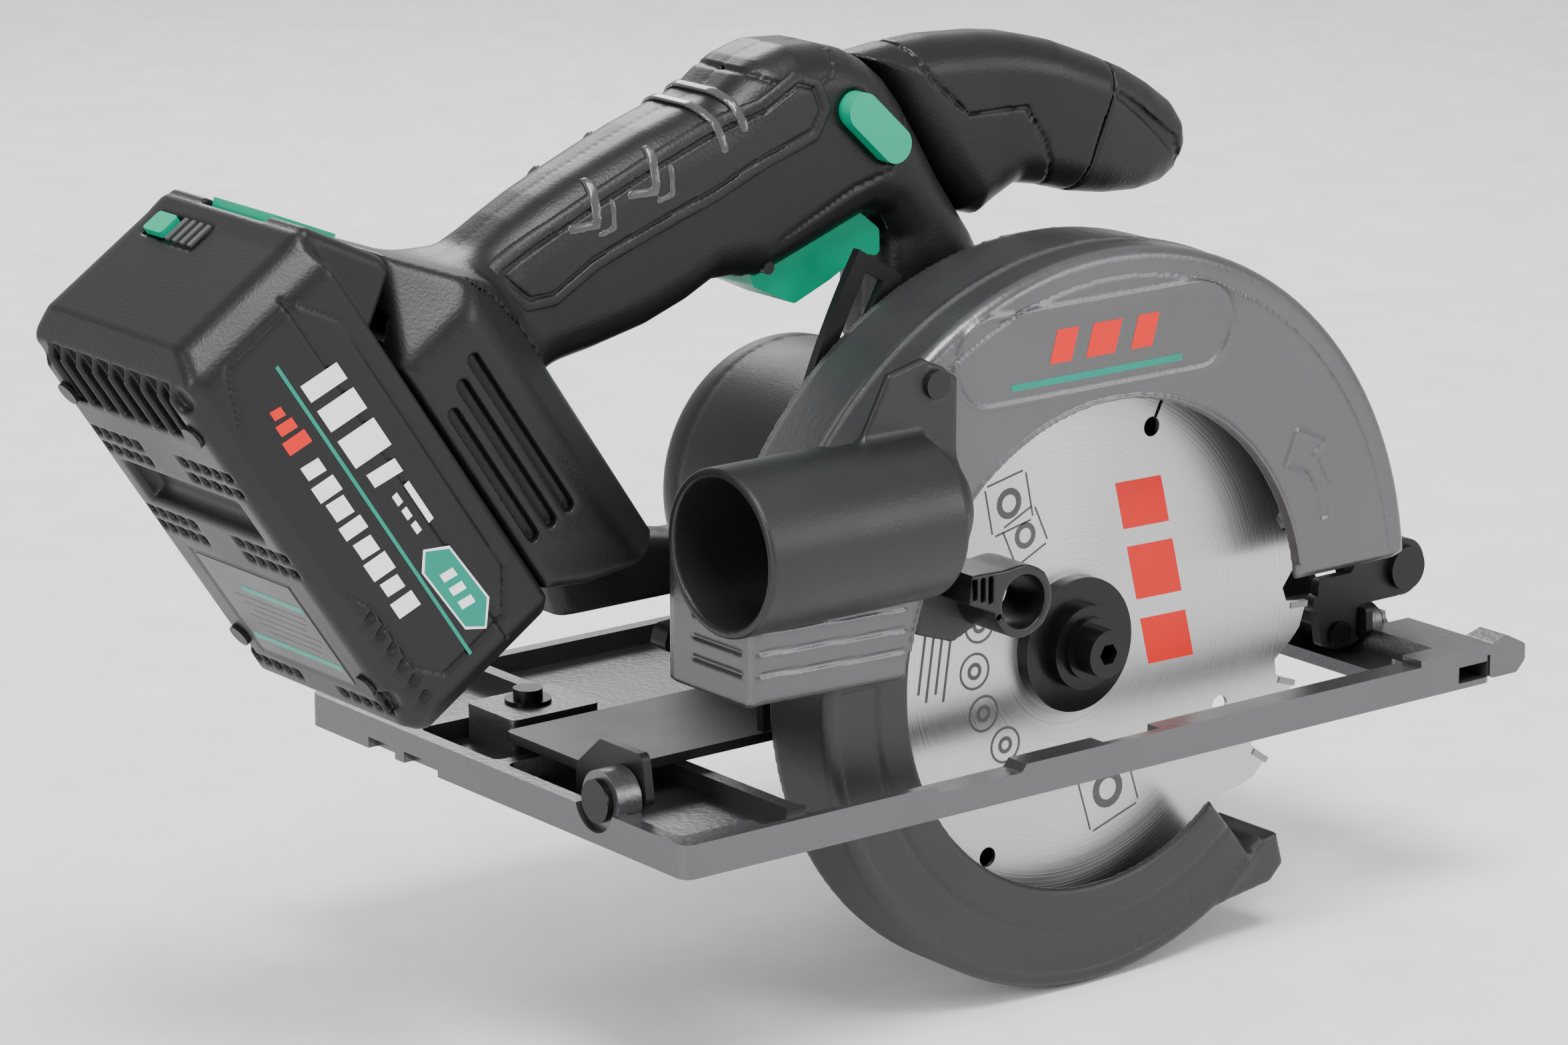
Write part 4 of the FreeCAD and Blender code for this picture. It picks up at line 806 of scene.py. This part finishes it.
front_grid, neck_field, nose_field = front_parts()
neck_piece = mesh_piece("front_handle_moulding", front_grid, neck_field)
neck_piece.data.materials.append(PLASTIC)
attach(neck_piece, "saw_body")
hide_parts("front_handle")
nose_piece = mesh_piece("front_handle_nose", front_grid, nose_field)
nose_piece.data.materials.append(RUBBER)
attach(nose_piece, "saw_body")
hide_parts("front_handle_cap")

# %% [markdown]
# ## The battery
# The pack is a long chamfered block. Its field is written in the pack's own frame: x along the rails, y
# across and z out to the foot. The shoulder at its upper end holds the release button in a well, and the
# rails stand on its inner face.


# %% Battery block
PACK_HALF = 36
PACK_LENGTH_HALF = 60


def battery_block():
    grid = Grid((-61.5, -36.5, -47.5), (60.5, 36.5, 15.2), 0.7)
    x, y, z = grid.x, grid.y, grid.z
    side = np.abs(y)
    profile = outline(x, z, [(-60, -38.5), (-50.5, -46.4), (53, -46.4), (60, -41), (60, -1.2), (59, 0),
                             (-60, 0)])
    from_side = side - PACK_HALF
    body = extruded(profile, from_side, 1.6)
    body = smooth_cut(body, -(from_side * 0.71 + (-46.4 - z) * 0.71 + 3.8 + 0 * x), 1.2)
    corner = from_side * 0.71 + (-PACK_LENGTH_HALF - x) * 0.71 + 5.0
    body = smooth_cut(body, -(corner + 0 * z), 2.5)
    far_corner = from_side * 0.71 + (x - PACK_LENGTH_HALF) * 0.71 + 5.0
    body = smooth_cut(body, -(far_corner + 0 * z), 2.0)
    shoulder = outline(x, z, [(-58.5, -3.0), (-60.0, 3.0), (-40.5, 14.6), (-36.5, 14.6), (-25.0, -3.0)])
    shoulder = extruded(shoulder, side - 29.6, 3.0)
    body = smooth_union(body, shoulder, 3.0)
    well = outline(x, z, [(-64.0, 4.2), (-55.8, -0.6), (-40.4, 8.6), (-44.4, 16.0), (-52.0, 18.0)])
    body = smooth_cut(body, both(well, side - 13.4), 0.8)
    rails = both(slab(x, -22, 45), side - 19.4, slab(z, -2, 4.6))
    rails = np.minimum(rails, both(slab(x, -22, 45), side - 24.4, slab(z, 4.6, 8.4)))
    return grid, union(body, rails + 0.0 * x), side


battery_grid, battery_field, battery_side = battery_block()
print("battery field", battery_field.shape)

# %% [markdown]
# The panels on the sides are outlined by a narrow groove, with a row of short grooves at one corner, and
# a seam runs along the sides where the two halves of the case meet. The rear face has a ribbed recess for
# the fingers and round hollows for the screws.


# %% Battery panels and recess
def battery_details(grid, body, side):
    x, y, z = grid.x, grid.y, grid.z
    panel = outline(x, z, [(-52, -12), (-41.4, -5.5), (37.4, -4.8), (47.5, -12), (47.5, -32), (40, -37.4),
                           (20.6, -37.4), (11.4, -41.4), (-34, -41.4), (-52, -34)])
    body = smooth_cut(body, both(np.abs(panel) - 0.3, 35.2 - side), 0.35)
    fins = 1e3
    for step in range(6):
        fins = np.minimum(fins, line(x, z, [(24 + 5.2 * step, -46), (21.5 + 5.2 * step, -38.5)], 0.7))
    body = smooth_cut(body, both(fins, 34.8 - side), 0.5)
    seam = both(slab(z, -14.3, -13.7), -0.8 - body, 34 - side + 20 * (x < -55))
    body = smooth_cut(body, seam, 0.25)
    recess = both(slab(x, -53, -37.5), side - 25.5, z + 38.5)
    ribs = recess
    for step in range(7):
        ribs = np.maximum(ribs, 0.9 - np.abs(y - (-21 + 7 * step)) + 6 * (z > -43.5))
    body = smooth_cut(body, ribs, 0.7)
    for along in (-56.0, 50.0):
        screw_hollow = round_bar(x, side, (along * 0.9, 30.0), 3.0)
        body = smooth_cut(body, both(screw_hollow, z + 44.0), 0.5)
    return body


battery_field = battery_details(battery_grid, battery_field, battery_side)
print("panels and recess cut")

# %% [markdown]
# Rows of vent slots flank a hollow across the rear face, and a fine groove frames the place of the rating
# plate. The charge window and its button sit in shallow pockets on the upper end. Two faults are left:
# the pocket is 0.4 mm too shallow for the button when it is pressed, and the hollow is about 1 mm too
# deep, so that a strip of a cell shows in it.


# %% Battery vents and windows
def battery_vents(grid, body, side):
    x, y, z = grid.x, grid.y, grid.z
    for along in (-27.0, -22.0, -1.5, 3.5, 48.5):
        for step in range(5):
            for half in (-1, 1):
                centre = half * (10.0 + 4.6 * step)
                slot = both(slab(x, along - 1.3, along + 1.3), slab(y, centre - 1.6, centre + 1.6),
                            z + 44.2)
                body = smooth_cut(body, slot, 0.3)
    hollow = extruded(both(slab(x, -17.5, -6.0), side - 24.0), z + 42.0 + 0 * x, 3.0)
    body = smooth_cut(body, hollow, 2.0)
    plate = both(np.abs(both(slab(x, 9.5, 43.5), side - 21.0)) - 0.35, z + 45.9)
    body = smooth_cut(body, plate, 0.3)
    window = both(slab(z, -12.2, -4.2), slab(y, 0.2, 14.8), x + 59.3)
    window = np.minimum(window, both(slab(y, 13.4, 22.6), slab(z, -11.6, -4.4), x + 58.8))
    return smooth_cut(body, window, 0.3)


battery_field = battery_vents(battery_grid, battery_field, battery_side)
battery_piece = mesh_piece("battery_case", battery_grid, battery_field, PACK_MATRIX)
battery_piece.data.materials.append(PLASTIC)
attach(battery_piece, "battery")
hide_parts("battery_front_case", "battery_rear_case", "battery_labels")

# %% [markdown]
# ## Printed marks
# Print is a film about a tenth of a millimetre thick, so each mark is a flat polygon with such a
# thickness, laid on its face. The lettering of the real saw is left out: plain bars and a hexagon take
# its place.


# %% Flat mark helper
def flat_mark(name, loops, thickness, material, body, matrix):
    """Polygons in the matrix's x and y, given a thickness along its z."""
    vertices = []
    faces = []
    for loop in loops:
        base = len(vertices)
        count = len(loop)
        vertices += [(u * MM, v * MM, 0.0) for u, v in loop]
        vertices += [(u * MM, v * MM, thickness * MM) for u, v in loop]
        faces.append(tuple(range(base + count, base + 2 * count)))
        faces.append(tuple(range(base + count - 1, base - 1, -1)))
        for i in range(count):
            j = (i + 1) % count
            faces.append((base + i, base + j, base + count + j, base + count + i))
    mesh = bpy.data.meshes.new(name)
    mesh.from_pydata(vertices, [], faces)
    mesh.update()
    mark = bpy.data.objects.new(name, mesh)
    mark.matrix_world = matrix
    mark.data.materials.append(material)
    bpy.context.collection.objects.link(mark)
    print(name, len(loops), "shapes")
    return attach(mark, body)


def bar(u, v, length, width, lean=0.0):
    """A bar from its centre, length along u, with leaning ends."""
    a, b = length / 2, width / 2
    return [(u - a - lean, v - b), (u + a - lean, v - b), (u + a + lean, v + b), (u - a + lean, v + b)]


def ring(u, v, outer, inner, count=40):
    """Quads that make a ring."""
    angles = [2 * math.pi * i / count for i in range(count + 1)]
    points = [(math.cos(angle), math.sin(angle)) for angle in angles]
    return [[(u + outer * a, v + outer * b), (u + outer * c, v + outer * d), (u + inner * c, v + inner * d),
             (u + inner * a, v + inner * b)] for (a, b), (c, d) in zip(points, points[1:])]


def upright(y):
    """A matrix whose x is the row's +X, whose y is up and whose z points to the right side."""
    turn = Matrix(((1, 0, 0), (0, 0, -1), (0, 1, 0))).to_4x4()
    return Matrix.Translation((0, y * MM, 0)) @ turn


FILM = 0.1
print("marks can be laid, usually", FILM, "mm thick")

# %% [markdown]
# The battery's right side carries bars in place of words, and a badge. The rating plate is on the rear
# face. On the side, x runs along the rails, y out to the foot and z to the right.


# %% Battery print
SIDE_FACE = PACK_MATRIX @ upright(-35.98)
flat_mark("battery_green_line", [bar(2.5, -24.3, 92, 0.9)], FILM, GREEN_PRINT, "battery", SIDE_FACE)
white_bars = [bar(-32, -17.0, 5, 10.5, 1.0), bar(-23.5, -17.0, 6.5, 10.5, 1.0),
              bar(-13, -17.0, 8.5, 10.5, 1.0), bar(-3.5, -17.0, 4, 8.0, 1.0), bar(8.5, -14.0, 12, 1.6)]
white_bars += [bar(4 + 4.5 * i, -18.0, 3, 1.6) for i in range(3)]
white_bars += [bar(-17.5 + 6.2 * i, -30.8, 3.9 + 0.7 * (i % 3), 5.0 + 1.3 * (i % 2), 0.6) for i in range(8)]
flat_mark("battery_white_bars", white_bars, FILM, WHITE_PRINT, "battery", SIDE_FACE)
red_steps = [bar(-34.5, -30.4, 2.6, 3.0, 0.4), bar(-30.4, -30.4, 3.0, 4.6, 0.5),
             bar(-25.6, -30.4, 3.8, 6.4, 0.6)]
flat_mark("battery_red_steps", red_steps, FILM, RED_PRINT, "battery", SIDE_FACE)
HEXAGON = [(19.5, -19.5), (23.5, -14.2), (40.5, -13.2), (45.8, -17.6), (42.0, -21.6), (23.5, -22.6)]
badge_edge = [(32.6 + 1.06 * (u - 32.6), -18.1 + 1.12 * (v + 18.1)) for u, v in HEXAGON]
flat_mark("battery_badge_edge", [badge_edge], 0.07, WHITE_PRINT, "battery", SIDE_FACE)
flat_mark("battery_badge", [HEXAGON], 0.14, GREEN_PRINT, "battery", SIDE_FACE)
badge_bars = [bar(28.5 + 4.4 * i, -18.0, 2.4, 3.8, 0.5) for i in range(3)]
flat_mark("battery_badge_bars", badge_bars, 0.18, WHITE_PRINT, "battery", SIDE_FACE)
REAR_FACE = PACK_MATRIX @ Matrix.Translation((0, 0, -46.38 * MM)) @ Matrix.Rotation(math.pi, 4, "X")
flat_mark("rating_plate", [bar(26.5, 0, 32, 40)], 0.05, SMOOTH_PLASTIC, "battery", REAR_FACE)
plate_ends = [bar(18.5, 6, 2.0, 26), bar(37.5, 0, 2.0, 38)]
flat_mark("rating_plate_green", plate_ends, 0.09, GREEN_PRINT, "battery", REAR_FACE)
plate_lines = [bar(22.0 + 2.4 * i, 2.0, 0.7, 30 - 4 * (i % 3)) for i in range(6)]
flat_mark("rating_plate_lines", plate_lines, 0.09, GREY_PRINT, "battery", REAR_FACE)

# %% [markdown]
# The guard's print sits inside the raised racetrack: three red bars over a green line.


# %% Guard print
GUARD_SIDE = upright(GUARD_FACE + 0.02)
flat_mark("guard_green_line", [bar(-5.5, 101.3, 56, 1.7)], FILM, GREEN_PRINT, "saw_body", GUARD_SIDE)
guard_bars = [bar(-16.5, 109.8, 7.0, 8.4, 1.2), bar(-3.5, 109.8, 9.5, 8.4, 1.2),
              bar(10.0, 109.8, 7.0, 8.4, 1.2)]
flat_mark("guard_red_bars", guard_bars, FILM, RED_PRINT, "saw_body", GUARD_SIDE)

# %% [markdown]
# The blade is printed with red bars and grey pictograms, which stand askew because the blade has stopped
# at some angle. So each group is written upright, and then turned about the blade's axis.


# %% Blade print
BLADE_LOW, _ = [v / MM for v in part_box("blade")]
BLADE_SIDE = upright(BLADE_LOW.y + 0.01)


def turned(loops, angle, centre=(0.0, AXIS_HEIGHT)):
    """Loops turned about the blade's axis, so that a mark can be written upright first."""
    c, s = math.cos(math.radians(angle)), math.sin(math.radians(angle))
    return [[(centre[0] + u * c - v * s, centre[1] + u * s + v * c) for u, v in loop] for loop in loops]


red_bars = [bar(-26, 0, 13, 15, 2.0), bar(-7, 0, 15, 15, 2.0), bar(12.5, 0, 13, 15, 2.0)]
red_bars = [[(u, v + 31.0) for u, v in loop] for loop in red_bars]
flat_mark("blade_red_bars", turned(red_bars, -76), 0.05, RED_PRINT, "blade_set", BLADE_SIDE)


def icon(u, v, size):
    """A rounded frame of four thin bars round a ring, as a generic pictogram."""
    half = size / 2
    long, thin = size - 1.6, 0.55
    frame_bars = [bar(u, v + half, long, thin), bar(u, v - half, long, thin), bar(u - half, v, thin, long),
                  bar(u + half, v, thin, long)]
    return frame_bars + ring(u, v, size * 0.3, size * 0.17, 18)


icons = turned(icon(-12, 43, 13.5), 12) + turned(icon(-1, 34, 11.5), 25) + turned(icon(0, -44, 17.0), 18)
for spot in range(4):
    middle = turned([[(0, 31.5)]], 72 + 22 * spot)[0][0]
    icons += ring(*middle, 4.9, 4.2, 30)
    icons += ring(*middle, 2.3, 1.2, 18)
for row in range(4):
    icons += turned([bar(-40 - 2.8 * row, -4, 0.8, 20.0 - 4 * (row % 2))], -8)
flat_mark("blade_pictograms", icons, 0.05, GREY_PRINT, "blade_set", BLADE_SIDE)

# %% [markdown]
# ## The other pieces keep their CAD shape
# A Bevel modifier breaks their edges, as stamping, turning and moulding do on the real ones, so that each
# edge catches a thin line of light. Most pieces inside the saw get no bevel. The CAD mesh itself isn't
# touched.


# %% Bevels and finishes on the CAD nodes
def dress(material, width, *names):
    """Gives CAD nodes a finish and, where the width is above nothing, a small edge bevel."""
    for name in names:
        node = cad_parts[name]
        node.data.materials.clear()
        node.data.materials.append(material)
        if width:
            bevel = node.modifiers.new("edges", "BEVEL")
            bevel.width = width * MM
            bevel.segments = 2
            bevel.limit_method = "ANGLE"
            bevel.angle_limit = math.radians(35)
            bevel.harden_normals = True


dress(CAST_BASE, 0.7, "base_plate")
dress(CAST_BASE, 0.5, "rear_block")
dress(BLACK_STEEL, 0.35, "bevel_frame", "front_bracket", "depth_guide", "depth_lever", "bevel_knob")
dress(OXIDE, 0.3, "rear_block_screw", "bevel_pin_rear", "bevel_pin_front", "depth_pin", "frame_rivets")
dress(OXIDE, 0.4, "inner_flange", "outer_flange", "blade_bolt")
dress(BLACK_STEEL, 0.15, "dust_screw", "battery_screws", "trigger_pin")
dress(CAST, 0.4, "gear_case")
dress(DARK_IRON, 0.0, "armature_core", "stator", "guard_spring")
dress(STEEL, 0.0, "spindle", "spindle_gear", "armature_shaft", "pinion", "bearings")
dress(COPPER, 0.0, "commutator", "foot_terminals", "battery_terminals", "brushes")
dress(CARBIDE, 0.0, "blade_tips")
dress(BLADE, 0.12, "blade")
dress(PLASTIC, 0.0, "fan", "brush_plate", "switch", "switch_plunger")
dress(BOARD, 0.0, "controller")
dress(CELL, 0.0, "battery_cells")
dress(GREEN, 0.5, "trigger", "lock_off", "battery_release", "gauge_button")
dress(GREY_PRINT, 0.2, "gauge_lights")
print("dressed", len([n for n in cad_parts.values() if not n.hide_render]), "shown CAD nodes")

# %% [markdown]
# ## The studio
# The saw stands on a plain pale floor, just under the lower guard, which is its lowest piece. The world
# is a plain white that fills the shadows.

# %% Floor
FLOOR_HEIGHT = -0.0612
FLOOR_HALF = 6
floor_mesh = bpy.data.meshes.new("floor")
corners = [(u * FLOOR_HALF, v * FLOOR_HALF, FLOOR_HEIGHT) for u, v in ((-1, -1), (1, -1), (1, 1), (-1, 1))]
floor_mesh.from_pydata(corners, [], [(0, 1, 2, 3)])
floor = bpy.data.objects.new("floor", floor_mesh)
floor.data.materials.append(finish("floor_paper", (0.88, 0.88, 0.88), 0.7, specular=0.1))
bpy.context.collection.objects.link(floor)
world = bpy.data.worlds.new("studio")
world.use_nodes = True
world.node_tree.nodes["Background"].inputs["Color"].default_value = (1, 1, 1, 1)
world.node_tree.nodes["Background"].inputs["Strength"].default_value = 0.85
bpy.context.scene.world = world
print("floor and world ready")

# %% [markdown]
# One large soft light above gives the long highlights on the cast guard and the blade. A lower one at the
# rear lights the battery, a third at the front right opens the blacks, and a fourth on the far side draws
# the handle's edge.


# %% Lights
def soft_light(name, place, aim, size, power):
    """A round area light that looks at a point."""
    data = bpy.data.lights.new(name, "AREA")
    data.shape = "DISK"
    data.size = size
    data.energy = power
    lamp = bpy.data.objects.new(name, data)
    lamp.location = place
    lamp.rotation_mode = "QUATERNION"
    lamp.rotation_quaternion = (Vector(aim) - Vector(place)).to_track_quat("-Z", "Y")
    bpy.context.collection.objects.link(lamp)


soft_light("key", (-0.35, -0.6, 1.5), (0, 0, 0.06), 0.8, 34)
soft_light("side", (-1.5, -0.3, 0.5), (-0.05, 0, 0.08), 0.6, 12)
soft_light("front", (0.9, -1.3, 0.6), (0, 0, 0.06), 0.8, 10)
soft_light("back", (0.5, 1.2, 0.9), (0, 0, 0.1), 0.6, 10)
print("lights:", [lamp.name for lamp in bpy.data.lights])

# %% [markdown]
# ## The camera
# It stands to the rear right of the saw and a little above it, with a long lens, so that the blade side
# faces the viewer and the battery comes nearest.

# %% Camera
camera_data = bpy.data.cameras.new("camera")
camera_data.lens = 124.65
camera_data.sensor_width = 36.0
camera = bpy.data.objects.new("camera", camera_data)
camera.location = (-0.8704, -0.9983, 0.4131)
camera.rotation_mode = "QUATERNION"
camera.rotation_quaternion = Vector((0.5942, 0.7615, -0.2589)).to_track_quat("-Z", "Y")
bpy.context.collection.objects.link(camera)
bpy.context.scene.camera = camera
print("camera at", tuple(round(v, 3) for v in camera.location))
